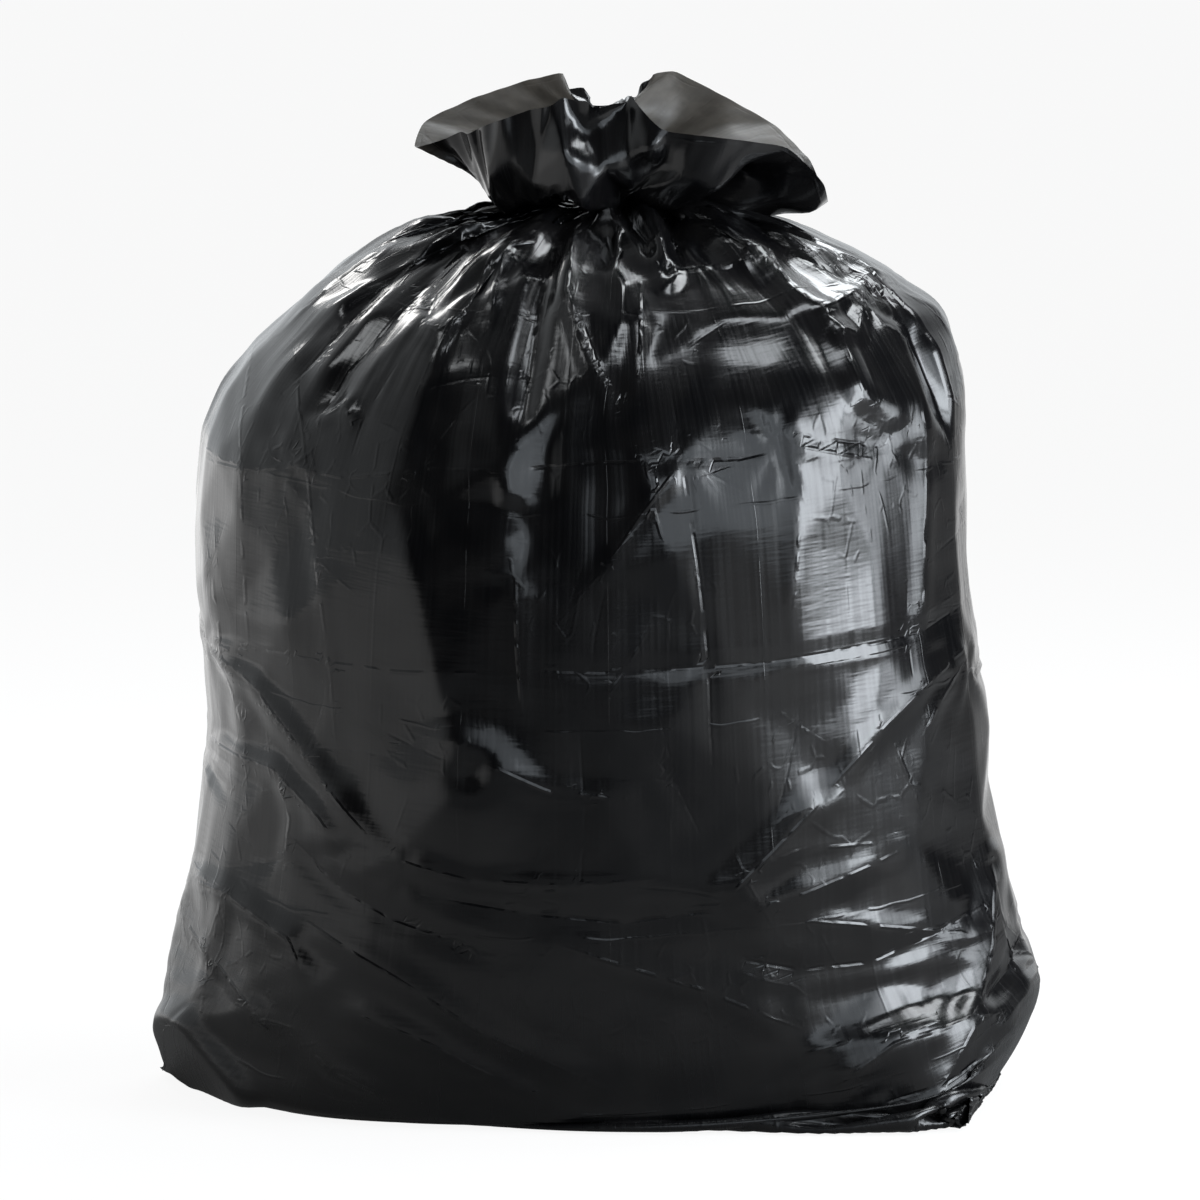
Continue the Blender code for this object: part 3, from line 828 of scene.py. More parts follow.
# raised or sunk lines on the front: points x, z, then height and half width
LINES = [
    ([(-114, 375), (-102, 307), (-95, 275), (-76, 225)], 5.5, 66),
    ([(-76, 225), (-112, 181), (-128, 172), (-151, 172)], 4.0, 46),
    # pleats that run down from the neck
    ([(-49, 551), (-73, 544), (-97, 521), (-121, 496), (-153, 460), (-171, 428)], -5.5, 11),
    ([(-171, 428), (-153, 440), (-149, 431)], 2.4, 7),
    ([(-25, 552), (-49, 542), (-72, 530), (-99, 507), (-107, 488)], -4.0, 8),
    ([(-107, 488), (-96, 483), (-84, 492)], 2.6, 7),
    ([(-15, 553), (-43, 544), (-78, 518), (-90, 501)], 4.0, 9),
    ([(-22, 549), (-39, 538), (-57, 526), (-63, 508), (-66, 493)], 3.4, 8),
    ([(-62, 522), (-56, 527), (-46, 516)], 2.4, 7),
    ([(-9, 552), (-24, 542), (-33, 519), (-38, 494), (-49, 426)], -6.0, 11),
    ([(-6, 549), (-17, 535), (-20, 506), (-6, 468), (10, 443)], 3.4, 9),
    ([(-11, 491), (0, 463), (13, 447), (21, 445)], -1.8, 7),
    ([(24, 508), (24, 481), (21, 445)], 1.8, 9),
    ([(2, 551), (6, 544), (16, 535), (30, 526)], 6.5, 11),
    ([(11, 550), (22, 538), (32, 526), (37, 514)], -4.0, 7),
    ([(15, 554), (27, 547), (35, 535), (40, 515)], 8.0, 11),
    ([(25, 554), (42, 547), (46, 535), (44, 520)], -4.0, 8),
    ([(37, 555), (61, 547), (79, 534), (96, 519)], 6.5, 12),
    ([(40, 515), (65, 518), (96, 519)], 1.8, 8),
    ([(57, 544), (74, 529), (101, 522), (114, 505), (125, 498), (141, 483), (152, 455), (157, 444), (174, 435)], 5.5, 11),
    ([(55, 554), (94, 544), (132, 523), (173, 501), (204, 486), (218, 466)], 5.0, 11),
    ([(80, 546), (93, 542), (121, 523), (148, 510), (181, 492)], -3.6, 9),
    ([(122, 524), (153, 518), (183, 502)], 2.2, 7),
    ([(133, 494), (159, 505), (155, 480), (141, 481)], 3.0, 7),
    ([(162, 494), (169, 484), (183, 476)], 2.2, 7),
    ([(-98, 542), (-122, 528), (-143, 512)], 2.4, 10),
    ([(-60, 552), (-110, 538), (-160, 506), (-196, 474)], 2.6, 9),
    ([(-52, 553), (-90, 541), (-140, 500), (-190, 446)], -2.6, 9),
    ([(-51, 405), (0, 410), (49, 411), (83, 411), (107, 416)], -0.9, 6),
    ([(-245, 398), (-212, 397), (-185, 402), (-153, 397), (-101, 404), (-51, 405)], 0.5, 6),
    ([(49, 411), (24, 379), (1, 344)], 1.5, 8),
    ([(119, 425), (169, 414), (183, 423)], -1.5, 8),
    ([(119, 418), (160, 408)], 0.9, 6),
    ([(-35, 287), (0, 286), (39, 287), (102, 290), (142, 294), (196, 300), (228, 313)], -1.1, 7),
    ([(102, 286), (142, 289), (196, 295)], 0.9, 6),
    ([(-245, 284), (-199, 289), (-162, 286), (-119, 284), (-77, 285)], 0.5, 6),
    ([(41, 461), (49, 412), (59, 346), (65, 290), (67, 233)], -0.8, 6),
    ([(27, 411), (31, 386), (39, 357)], 1.0, 8),
    ([(-50, 337), (-49, 300), (-46, 262)], 1.2, 9),
    ([(-211, 480), (-218, 420), (-216, 350), (-213, 290)], 0.7, 7),
    ([(-186, 470), (-176, 400), (-168, 330), (-162, 286), (-158, 230)], 0.6, 7),
    ([(-245, 290), (-209, 267), (-186, 240), (-156, 203), (-138, 183)], 3.2, 11),
    ([(-244, 225), (-196, 218), (-168, 193), (-151, 172)], 3.0, 10),
    ([(-252, 140), (-229, 139), (-188, 116), (-176, 88)], 2.6, 10),
    ([(-230, 135), (-244, 64)], 1.8, 8),
    ([(-194, 214), (-186, 190), (-190, 160)], 1.8, 8),
    ([(-128, 172), (-78, 159), (-24, 157), (30, 160)], 2.4, 9),
    ([(-163, 80), (-102, 56), (-24, 16)], 2.8, 12),
    ([(-218, 69), (-185, 60), (-164, 36), (-125, 18)], 2.4, 9),
    ([(-262, 118), (-232, 92), (-193, 51)], 2.4, 10),
    ([(-186, 178), (-160, 152), (-126, 133), (-60, 111)], -2.6, 13),
    ([(-175, 126), (-124, 98), (-74, 66), (15, 25)], 2.8, 14),
    ([(-104, 148), (-40, 138), (15, 133), (104, 144)], -2.2, 14),
    ([(-20, 118), (60, 92), (118, 66)], 2.0, 14),
    ([(74, 111), (120, 101), (164, 103), (231, 126)], -2.4, 11),
    ([(-70, 232), (-30, 214), (12, 210)], 1.6, 12),
    ([(-236, 330), (-228, 270), (-212, 232)], 1.6, 10),
    ([(74, 147), (95, 142), (123, 149), (177, 168)], 2.8, 13),
    ([(109, 134), (163, 126), (224, 114)], 1.5, 10),
    ([(121, 48), (129, 51), (156, 58), (200, 69)], 1.4, 9),
    ([(135, 27), (177, 54), (228, 65), (258, 63)], 4.6, 19),
    ([(169, 16), (207, 27), (240, 42)], -4.0, 14),
    ([(228, 66), (186, 88), (120, 80)], -3.2, 24),
    ([(228, 66), (238, 104), (240, 150)], 4.0, 13),
    ([(228, 66), (252, 84), (262, 104)], -3.4, 10),
    ([(228, 66), (214, 38), (200, 14)], 3.6, 14),
    ([(133, 206), (104, 176), (74, 147)], 2.6, 16),
    ([(133, 206), (169, 245), (194, 266), (227, 288)], 1.8, 9),
    ([(220, 273), (205, 255), (196, 238)], 1.0, 7),
    ([(178, 232), (192, 197)], 1.2, 7),
    ([(98, 168), (120, 176), (160, 176)], 0.7, 6),
    ([(118, 403), (118, 362), (116, 325)], 0.8, 8),
    ([(194, 440), (198, 412), (196, 355), (195, 302)], 1.3, 8),
    ([(-201, 408), (-190, 414), (-178, 404)], 1.4, 9),
    ([(-12, 250), (-9, 200), (-12, 150)], -0.6, 8),
]
# places where the film is gathered into a star: x, z, spokes, height, reach
STARS = [(107, 416, 9, 1.6, 34), (170, 415, 8, 1.4, 30), (-190, 402, 7, 0.9, 34), (49, 411, 6, 0.9, 24),
         (-241, 285, 8, 1.4, 36), (-246, 215, 7, 1.4, 34), (-151, 172, 6, 0.8, 30), (226, 270, 8, 1.6, 34),
         (133, 206, 5, 0.9, 26), (-50, 337, 6, 0.8, 26), (200, 69, 6, 1.2, 28), (-117, 160, 6, 0.8, 30)]


class Creases:
    """Which set crease is nearest: how far it is, on which side, how sharp."""

    def __init__(self, shape):
        self.near = np.full(shape, 1e3)
        self.side = np.full(shape, 1e3)
        self.sharp = np.zeros(shape)

    def add(self, near, side, sharp):
        closer = (near < self.near) & (near < 14)
        self.near = np.where(closer, near, self.near)
        self.side = np.where(closer, side, self.side)
        self.sharp = np.where(closer, sharp, self.sharp)


def raised(F, seed=8):
    """Heights of the fine ridges and puckers over the film."""
    rng = np.random.default_rng(seed)
    N = F.normals().astype(float)
    X = F.X.astype(float)
    front = smooth((0.45 - N[1]) / 0.4) * (F.v > 190) * (F.v < 880)
    height = np.zeros((F.NV, F.NU))
    creases = Creases(height.shape)
    x, z = X[0], X[2]
    for line, amp, width in LINES:
        best = np.full(x.shape, 1e9)
        side = np.full(x.shape, 1e9)
        for k in range(len(line) - 1):
            (ax, az), (bx, bz) = line[k], line[k + 1]
            dx, dz = bx - ax, bz - az
            t = np.clip(((x - ax) * dx + (z - az) * dz) / (dx * dx + dz * dz), 0, 1)
            far = np.hypot(x - ax - t * dx, z - az - t * dz)
            off = ((z - az) * dx - (x - ax) * dz) / math.hypot(dx, dz)
            side = np.where(far < best, off, side)
            best = np.minimum(best, far)
        # the height dies away towards the ends
        (ax, az), (bx, bz) = line[0], line[-1]
        span = math.hypot(bx - ax, bz - az)
        ends = np.minimum(np.hypot(x - ax, z - az), np.hypot(x - bx, z - bz)) / (0.22 * span)
        taper = smooth(0.25 + ends)
        height += amp * np.clip(1 - best / width, 0, 1) * taper * front
        if width < 20:
            creases.add(best + 1e3 * (front < 0.5), side, np.sign(amp) * taper * min(1.0, 0.4 + 0.35 * abs(amp)))
    for cx, cz, spokes, amp, reach in STARS:
        dx, dz = x - cx, z - cz
        r = np.hypot(dx, dz) + 1e-6
        a = np.arctan2(dz, dx)
        phase = rng.uniform(0, 6.28)
        wave = sum(np.abs(((a * k + p) / np.pi) % 2 - 1) * 2 - 1 for k, p in ((spokes, phase), (spokes - 2, phase * 3))) / 2
        height += amp * wave * smooth(r / 7.0) * smooth(1.15 - r / reach) * front
    # every panel between two folds across the sack bellies out a little
    v = F.v + 0 * F.u
    u = F.u + 0 * F.v
    step = FLAT_LENGTH / 8
    away = np.abs((v / step + 0.5) % 1.0 - 0.5) * 2
    pinch = 0.8 * (0.6 + 0.7 * ripple(u, v, rng, 200, 300, 5).clip(-1, 1))
    height -= pinch * (1 - away) ** 2 * smooth((v - 238) / 20.0) * smooth((770 - v) / 60.0)
    # seeded creases everywhere, fewer on the front where they are placed
    u = F.u + 0 * F.v
    v = F.v + 0 * F.u
    body = smooth((v - 225) / 25.0) * smooth((800 - v) / 60.0)
    for k in range(170):
        cu, cv = rng.uniform(0, GIRTH), rng.uniform(235, 800)
        ang = rng.choice([rng.normal(90, 16), rng.normal(0, 14), rng.uniform(0, 180)])
        length, width = rng.uniform(24, 90), rng.uniform(5, 10)
        amp = rng.choice([-1, 1]) * rng.uniform(0.3, 1.0)
        on_front = 760 < cu < 1450
        if on_front:
            amp *= 0.55
            length *= 0.7
        c, s = math.cos(math.radians(ang)), math.sin(math.radians(ang))
        dx = (u - cu + GIRTH / 2) % GIRTH - GIRTH / 2
        dz = v - cv
        along = dx * c + dz * s
        across = dz * c - dx * s + 0.0015 * rng.choice([-1, 1]) * along ** 2
        taper = smooth(1.3 - np.abs(along) / length * 1.3)
        height += amp * np.clip(1 - np.abs(across) / width, 0, 1) * taper * body
        creases.add(np.abs(across) + 1e3 * (taper < 0.05), across, np.sign(amp) * taper * body * min(1.0, 0.1 + 0.5 * abs(amp)))
    # drawn ripples running down from the gathered neck
    warp = 2.0 * ripple(u, v, rng, 200, 220, 6)
    fine = np.abs(ripple(u + warp, v * 0.02, rng, 15, 600, 12))
    where = np.clip(ripple(u, v, rng, 120, 110, 8) + 0.1, 0, 1)
    height += 0.7 * (fine - 0.5) * where * smooth((v - 560) / 120.0) * smooth((878 - v) / 60.0)
    return height, creases


def crumpled(F):
    F.X = facetted(F).astype(f4)
    h, F.creases = raised(F)
    N = F.normals().astype(float)
    F.X = (F.X + N * h[None]).astype(f4)
    # the crown's upper edge keeps its line
    top = NECK[2] + np.interp(F.X[0] - NECK[0], SKY[:, 0], SKY[:, 1])
    over = (F.X[2] - top) * smooth((F.h - 30) / 20.0)
    F.X[2] -= np.where(over > 0, over * 0.75, 0.0).astype(f4)
    # the left corner is drawn flat across
    (px, py, pz), (nx, ny, nz) = CUTS[0]
    d = (F.X[0] - px) * nx + (F.X[1] - py) * ny + (F.X[2] - pz) * nz
    flat = smooth((d + 14.0) / 8.0) * (F.v < 320)
    for c, part in enumerate((nx, ny, nz)):
        F.X[c] -= (0.88 * (d + 1.0) * flat * part).astype(f4)
    F.X[2] = np.maximum(F.X[2], f4(0.6))
    return F


# ======================================================================
# Materials
# ======================================================================
def nodes_of(name):
    material = bpy.data.materials.new(name)
    material.use_nodes = True
    tree = material.node_tree
    tree.nodes.clear()
    out = tree.nodes.new("ShaderNodeOutputMaterial")
    shader = tree.nodes.new("ShaderNodeBsdfPrincipled")
    tree.links.new(shader.outputs["BSDF"], out.inputs["Surface"])
    return material, tree, shader


class Net:
    """Short names for building node trees."""

    def __init__(self, tree):
        self.t = tree

    def node(self, kind, **props):
        n = self.t.nodes.new(kind)
        for key, value in props.items():
            setattr(n, key, value)
        return n

    def put(self, socket, value):
        if isinstance(value, bpy.types.NodeSocket):
            self.t.links.new(value, socket)
        else:
            socket.default_value = value

    def math(self, op, a, b=0.0, c=0.0, clamp=False):
        n = self.node("ShaderNodeMath", operation=op, use_clamp=clamp)
        for socket, value in zip(n.inputs, (a, b, c)):
            self.put(socket, value)
        return n.outputs[0]

    def noise(self, vector, scale, detail=2.0, rough=0.5, lacunarity=2.0):
        n = self.node("ShaderNodeTexNoise", noise_dimensions="2D")
        n.inputs["Scale"].default_value = scale
        n.inputs["Detail"].default_value = detail
        n.inputs["Roughness"].default_value = rough
        n.inputs["Lacunarity"].default_value = lacunarity
        self.t.links.new(vector, n.inputs["Vector"])
        return n.outputs["Fac"]

    def voronoi(self, vector, scale, feature="DISTANCE_TO_EDGE", random=1.0):
        n = self.node("ShaderNodeTexVoronoi", feature=feature, voronoi_dimensions="2D")
        n.inputs["Scale"].default_value = scale
        n.inputs["Randomness"].default_value = random
        self.t.links.new(vector, n.inputs["Vector"])
        return n.outputs["Distance"]

    def scaled(self, vector, x, y, z):
        n = self.node("ShaderNodeMapping")
        n.inputs["Scale"].default_value = (x, y, z)
        self.t.links.new(vector, n.inputs["Vector"])
        return n.outputs[0]

    def ramp(self, value, lo, hi, a=0.0, b=1.0, smooth_it=True):
        n = self.node("ShaderNodeMapRange",
                      interpolation_type="SMOOTHSTEP" if smooth_it else "LINEAR", clamp=True)
        self.put(n.inputs[0], value)
        for k, x in zip((1, 2, 3, 4), (lo, hi, a, b)):
            n.inputs[k].default_value = x
        return n.outputs[0]

    def mix_color(self, fac, a, b):
        n = self.node("ShaderNodeMix", data_type="RGBA")
        self.put(n.inputs[0], fac)
        for socket, value in ((n.inputs[6], a), (n.inputs[7], b)):
            self.put(socket, (*value, 1.0) if isinstance(value, tuple) else value)
        return n.outputs[2]


def film_material(name):
    material, tree, shader = nodes_of(name)
    net = Net(tree)
    uv = net.node("ShaderNodeUVMap", uv_map="OFBake").outputs[0]
    # flat-film coordinates in millimetres
    flat = net.scaled(uv, GIRTH, FLAT_LENGTH, 1.0)
    split = net.node("ShaderNodeSeparateXYZ")
    tree.links.new(flat, split.inputs[0])
    v = split.outputs["Y"]

    fold = net.node("ShaderNodeAttribute", attribute_name="fold_u").outputs["Fac"]
    thin = net.node("ShaderNodeAttribute", attribute_name="single").outputs["Fac"]
    loose = net.math("SUBTRACT", 1.0, net.node("ShaderNodeAttribute", attribute_name="gather").outputs["Fac"])

    # factory folds: fine raised lines, broken up along their length
    broad = net.noise(net.scaled(flat, 1 / 34.0, 1 / 34.0, 1), 1.0, 1)
    breaks = net.ramp(broad, 0.40, 0.56)
    step = FLAT_LENGTH / 8
    across = net.math("PINGPONG", net.math("ADD", v, net.math("MULTIPLY", broad, 7.0)), step / 2)
    line_v = net.ramp(across, 0.0, 1.4, 1.0, 0.0)
    line_u = net.ramp(net.math("ABSOLUTE", fold), 0.0, 1.4, 0.4, 0.0)
    lines = net.math("MULTIPLY", net.math("MAXIMUM", line_v, line_u), breaks)

    # fine straight creases, in patches
    cell = net.voronoi(net.scaled(flat, 1 / 17.0, 1 / 24.0, 1), 1.0)
    crease = net.ramp(cell, 0.0, 0.10, 1.0, 0.0)
    where = net.ramp(net.noise(net.scaled(flat, 1 / 75.0, 1 / 95.0, 1), 1.0, 0), 0.50, 0.66)

    # drawn-film texture: short marks across, haze lines along
    marks = net.noise(net.scaled(flat, 1 / 24.0, 1 / 3.0, 1), 1.0, 1, 0.6)
    haze = net.noise(net.scaled(flat, 1 / 2.4, 1 / 220.0, 1), 1.0, 0, 0.6)

    # set creases: sharp ridges and grooves along the lines where it bent
    near = net.node("ShaderNodeAttribute", attribute_name="crease_near").outputs["Fac"]
    side = net.node("ShaderNodeAttribute", attribute_name="crease_side").outputs["Fac"]
    sharp = net.node("ShaderNodeAttribute", attribute_name="crease_sharp").outputs["Fac"]
    ridge = net.ramp(net.math("ABSOLUTE", side), 0.0, 1.5, 1.0, 0.0, False)
    ridge = net.math("MULTIPLY", net.math("MULTIPLY", ridge, sharp), net.ramp(near, 3.4, 4.6, 1.0, 0.0))
    ridge = net.math("MULTIPLY", ridge, net.ramp(net.noise(net.scaled(flat, 1 / 14.0, 1 / 14.0, 1), 1.0, 1), 0.34, 0.56))

    height = net.math("MULTIPLY", lines, 0.15)
    height = net.math("ADD", height, net.math("MULTIPLY", ridge, 0.42))
    short = net.ramp(net.noise(net.scaled(flat, 1 / 11.0, 1 / 13.0, 1), 1.0, 0), 0.45, 0.6)
    crease = net.math("MULTIPLY", net.math("MULTIPLY", crease, where), short)
    height = net.math("ADD", height, net.math("MULTIPLY", crease, 0.11))
    height = net.math("ADD", height, net.math("MULTIPLY", marks, 0.060))
    height = net.math("ADD", height, net.math("MULTIPLY", haze, 0.032))
    height = net.math("MULTIPLY", height, loose)
    bump = net.node("ShaderNodeBump")
    bump.inputs["Strength"].default_value = 1.0
    bump.inputs["Distance"].default_value = MM
    tree.links.new(height, bump.inputs["Height"])
    tree.links.new(bump.outputs[0], shader.inputs["Normal"])

    body = net.mix_color(net.ramp(broad, 0.3, 0.7), (0.0022, 0.0022, 0.0026), (0.0046, 0.0044, 0.0046))
    # painted light: the single sheets at the back of the crown get a lighter brown colour that stands in for light from
    # behind shining through the thin film
    painted_backlight_sheet = net.mix_color(net.ramp(net.noise(flat, 0.09, 2), 0.3, 0.7), (0.026, 0.0210, 0.0150), (0.040, 0.0335, 0.0255))
    tree.links.new(net.mix_color(thin, body, painted_backlight_sheet), shader.inputs["Base Color"])
    rough = net.math("ADD", 0.175, net.math("MULTIPLY", net.math("SUBTRACT", haze, 0.5), 0.12))
    rough = net.math("ADD", rough, net.math("MULTIPLY", net.ramp(where, 0.0, 1.0), 0.05))
    rough = net.math("ADD", rough, net.ramp(v, 250.0, 360.0, 0.07, 0.0))
    rough = net.math("ADD", rough, net.math("MULTIPLY", thin, 0.34), clamp=True)
    tree.links.new(rough, shader.inputs["Roughness"])
    shader.inputs["IOR"].default_value = 1.51
    return material


# ======================================================================
# The film as a mesh
# ======================================================================
def film_object(X, **fields):
    _, m, n = X.shape
    mesh = bpy.data.meshes.new("bag_film")
    co = np.ascontiguousarray(X.transpose(1, 2, 0)).reshape(-1, 3) * MM
    j, i = np.meshgrid(np.arange(m - 1), np.arange(n), indexing="ij")
    k = (i + 1) % n
    quads = np.stack([j * n + i, j * n + k, (j + 1) * n + k, (j + 1) * n + i], -1).reshape(-1, 4)
    mesh.vertices.add(len(co))
    mesh.vertices.foreach_set("co", co.ravel().astype(np.float32))
    mesh.loops.add(quads.size)
    mesh.loops.foreach_set("vertex_index", quads.ravel().astype(np.int32))
    mesh.polygons.add(len(quads))
    mesh.polygons.foreach_set("loop_start", np.arange(0, quads.size, 4, dtype=np.int32))
    mesh.polygons.foreach_set("loop_total", np.full(len(quads), 4, np.int32))
    mesh.update(calc_edges=True)
    uv = np.stack([
        np.stack([i / n, j / (m - 1)], -1), np.stack([(i + 1) / n, j / (m - 1)], -1),
        np.stack([(i + 1) / n, (j + 1) / (m - 1)], -1), np.stack([i / n, (j + 1) / (m - 1)], -1),
    ], axis=2).reshape(-1, 2)
    layer = mesh.uv_layers.new(name="OFBake")
    layer.data.foreach_set("uv", uv.ravel().astype(np.float32))
    for name, value in fields.items():
        attribute = mesh.attributes.new(name, "FLOAT", "POINT")
        attribute.data.foreach_set("value", np.ascontiguousarray(value, dtype=np.float32).ravel())
    mesh.shade_smooth()
    thing = bpy.data.objects.new("bag_film", mesh)
    bpy.context.scene.collection.objects.link(thing)
    return thing


def grid_faces(rows, cols, offset, wrap_rows):
    faces = []
    for j in range(rows if wrap_rows else rows - 1):
        for i in range(cols):
            k, m = (i + 1) % cols, (j + 1) % rows
            faces.append((offset + j * cols + i, offset + j * cols + k, offset + m * cols + k, offset + m * cols + i))
    return faces


def tie_object():
    """The strip wound twice round the neck, crinkled across, and its ends
    twisted into a tail behind."""
    rng = np.random.default_rng(17)
    points, faces = [], []
    around, section = 432, 26
    a = np.arange(around) * 2 * np.pi / around
    # crinkles across the strip: sharp ridges at uneven steps, slanting
    knots = np.sort(rng.uniform(0, 2 * np.pi, 74))
    heights = rng.uniform(0.0, 1.0, 74) * np.where(np.arange(74) % 2, 1.0, 0.25)
    for turn in (0, 1):
        offset = len(points)
        z0 = NECK[2] - 2.6 + 5.3 * turn
        lean = 0.9 * np.sin(a + 0.8 + 2.6 * turn)
        for j in range(around):
            for k in range(section):
                t = 2 * np.pi * k / section
                c, s = math.cos(t), math.sin(t)
                out = 1.22 * np.sign(c) * abs(c) ** 0.8
                up = 3.05 * np.sign(s) * abs(s) ** 0.75
                slant = a[j] + 0.055 * up + 0.04 * turn
                ridge = np.interp(slant % (2 * np.pi), knots, heights, period=2 * np.pi)
                fine = 0.18 * math.sin(67 * a[j] + 2.1 * t + turn) * math.sin(3 * t + 5 * a[j])
                lift = (0.75 * ridge + fine) * (0.25 + 0.75 * max(0.0, c))
                edge = 0.35 * math.sin(23 * a[j] + 1.7 * turn) * abs(s) ** 3 * np.sign(s)
                r = 1.55 + out + lift
                points.append((
                    NECK[0] + (20.35 + r) * math.cos(a[j]),
                    (17.35 + r) * math.sin(a[j]),
                    z0 + up + edge + lean[j],
                ))
        faces += grid_faces(around, section, offset, True)
    # the ends: two narrow strips twisted round each other
    steps, side = 150, 14
    for end in (0, 1):
        offset = len(points)
        for j in range(steps):
            t = j / (steps - 1)
            spin = 2 * np.pi * 3.1 * min(t / 0.82, 1.0) + np.pi * end
            apart = 1.15 + 2.2 * smooth((t - 0.8) / 0.2)
            y = 17.35 + 2.0 + 45.0 * t
            z = 563.4 + 3.0 * math.sin(t * 2.4) - 16.0 * t * t
            cx = NECK[0] - 1.5 + apart * math.cos(spin)
            cz = z + apart * math.sin(spin)
            wide = 1.75 + 1.1 * smooth((t - 0.86) / 0.14)
            thick = 0.75 - 0.3 * smooth((t - 0.8) / 0.2)
            crimp = 0.25 * math.sin(58 * t + end) + 0.18 * math.sin(91 * t)
            for k in range(side):
                q = 2 * np.pi * k / side
                u, v = (wide + crimp) * math.cos(q), thick * math.sin(q) + 0.25 * math.sin(3 * q + 40 * t)
                turn = spin + np.pi / 2
                points.append((cx + u * math.cos(turn) - v * math.sin(turn), y + 0.4 * math.sin(2 * q + 30 * t),
                               cz + u * math.sin(turn) + v * math.cos(turn)))
        faces += grid_faces(steps, side, offset, False)
        faces.append(tuple(offset + k for k in reversed(range(side))))
        faces.append(tuple(offset + (steps - 1) * side + k for k in range(side)))
    mesh = bpy.data.meshes.new("tie_strip")
    mesh.from_pydata([(x * MM, y * MM, z * MM) for x, y, z in points], [], faces)
    mesh.update()
    mesh.shade_smooth()
    thing = bpy.data.objects.new("tie_strip", mesh)
    bpy.context.scene.collection.objects.link(thing)
    return thing


def tie_material(name):
    material, tree, shader = nodes_of(name)
    net = Net(tree)
    obj = net.node("ShaderNodeTexCoord").outputs["Object"]
    grain = net.node("ShaderNodeTexNoise")
    grain.inputs["Scale"].default_value = 420.0
    grain.inputs["Detail"].default_value = 1.0
    tree.links.new(obj, grain.inputs["Vector"])
    bump = net.node("ShaderNodeBump")
    bump.inputs["Strength"].default_value = 1.0
    bump.inputs["Distance"].default_value = 0.35 * MM
    tree.links.new(grain.outputs["Fac"], bump.inputs["Height"])
    tree.links.new(bump.outputs[0], shader.inputs["Normal"])
    tree.links.new(net.mix_color(net.ramp(grain.outputs["Fac"], 0.35, 0.65), (0.005, 0.005, 0.0055), (0.011, 0.0105, 0.0105)),
                   shader.inputs["Base Color"])
    shader.inputs["Roughness"].default_value = 0.24
    shader.inputs["IOR"].default_value = 1.51
    return material


def light(name, azimuth, elevation, distance, width, height, energy, color=(1, 1, 1), at=(0, 0, 0.3), spread=None):
    data = bpy.data.lights.new(name, "AREA")
    data.shape = "RECTANGLE"
    data.size, data.size_y, data.energy, data.color = width, height, energy, color
    if spread:
        data.spread = math.radians(spread)
    thing = bpy.data.objects.new(name, data)
    a, e = math.radians(azimuth), math.radians(elevation)
    at = Vector(at)
    place = at + distance * Vector((math.sin(a) * math.cos(e), -math.cos(a) * math.cos(e), math.sin(e)))
    thing.location = place
    thing.rotation_euler = (at - place).to_track_quat("-Z", "Y").to_euler()
    bpy.context.scene.collection.objects.link(thing)
    return thing


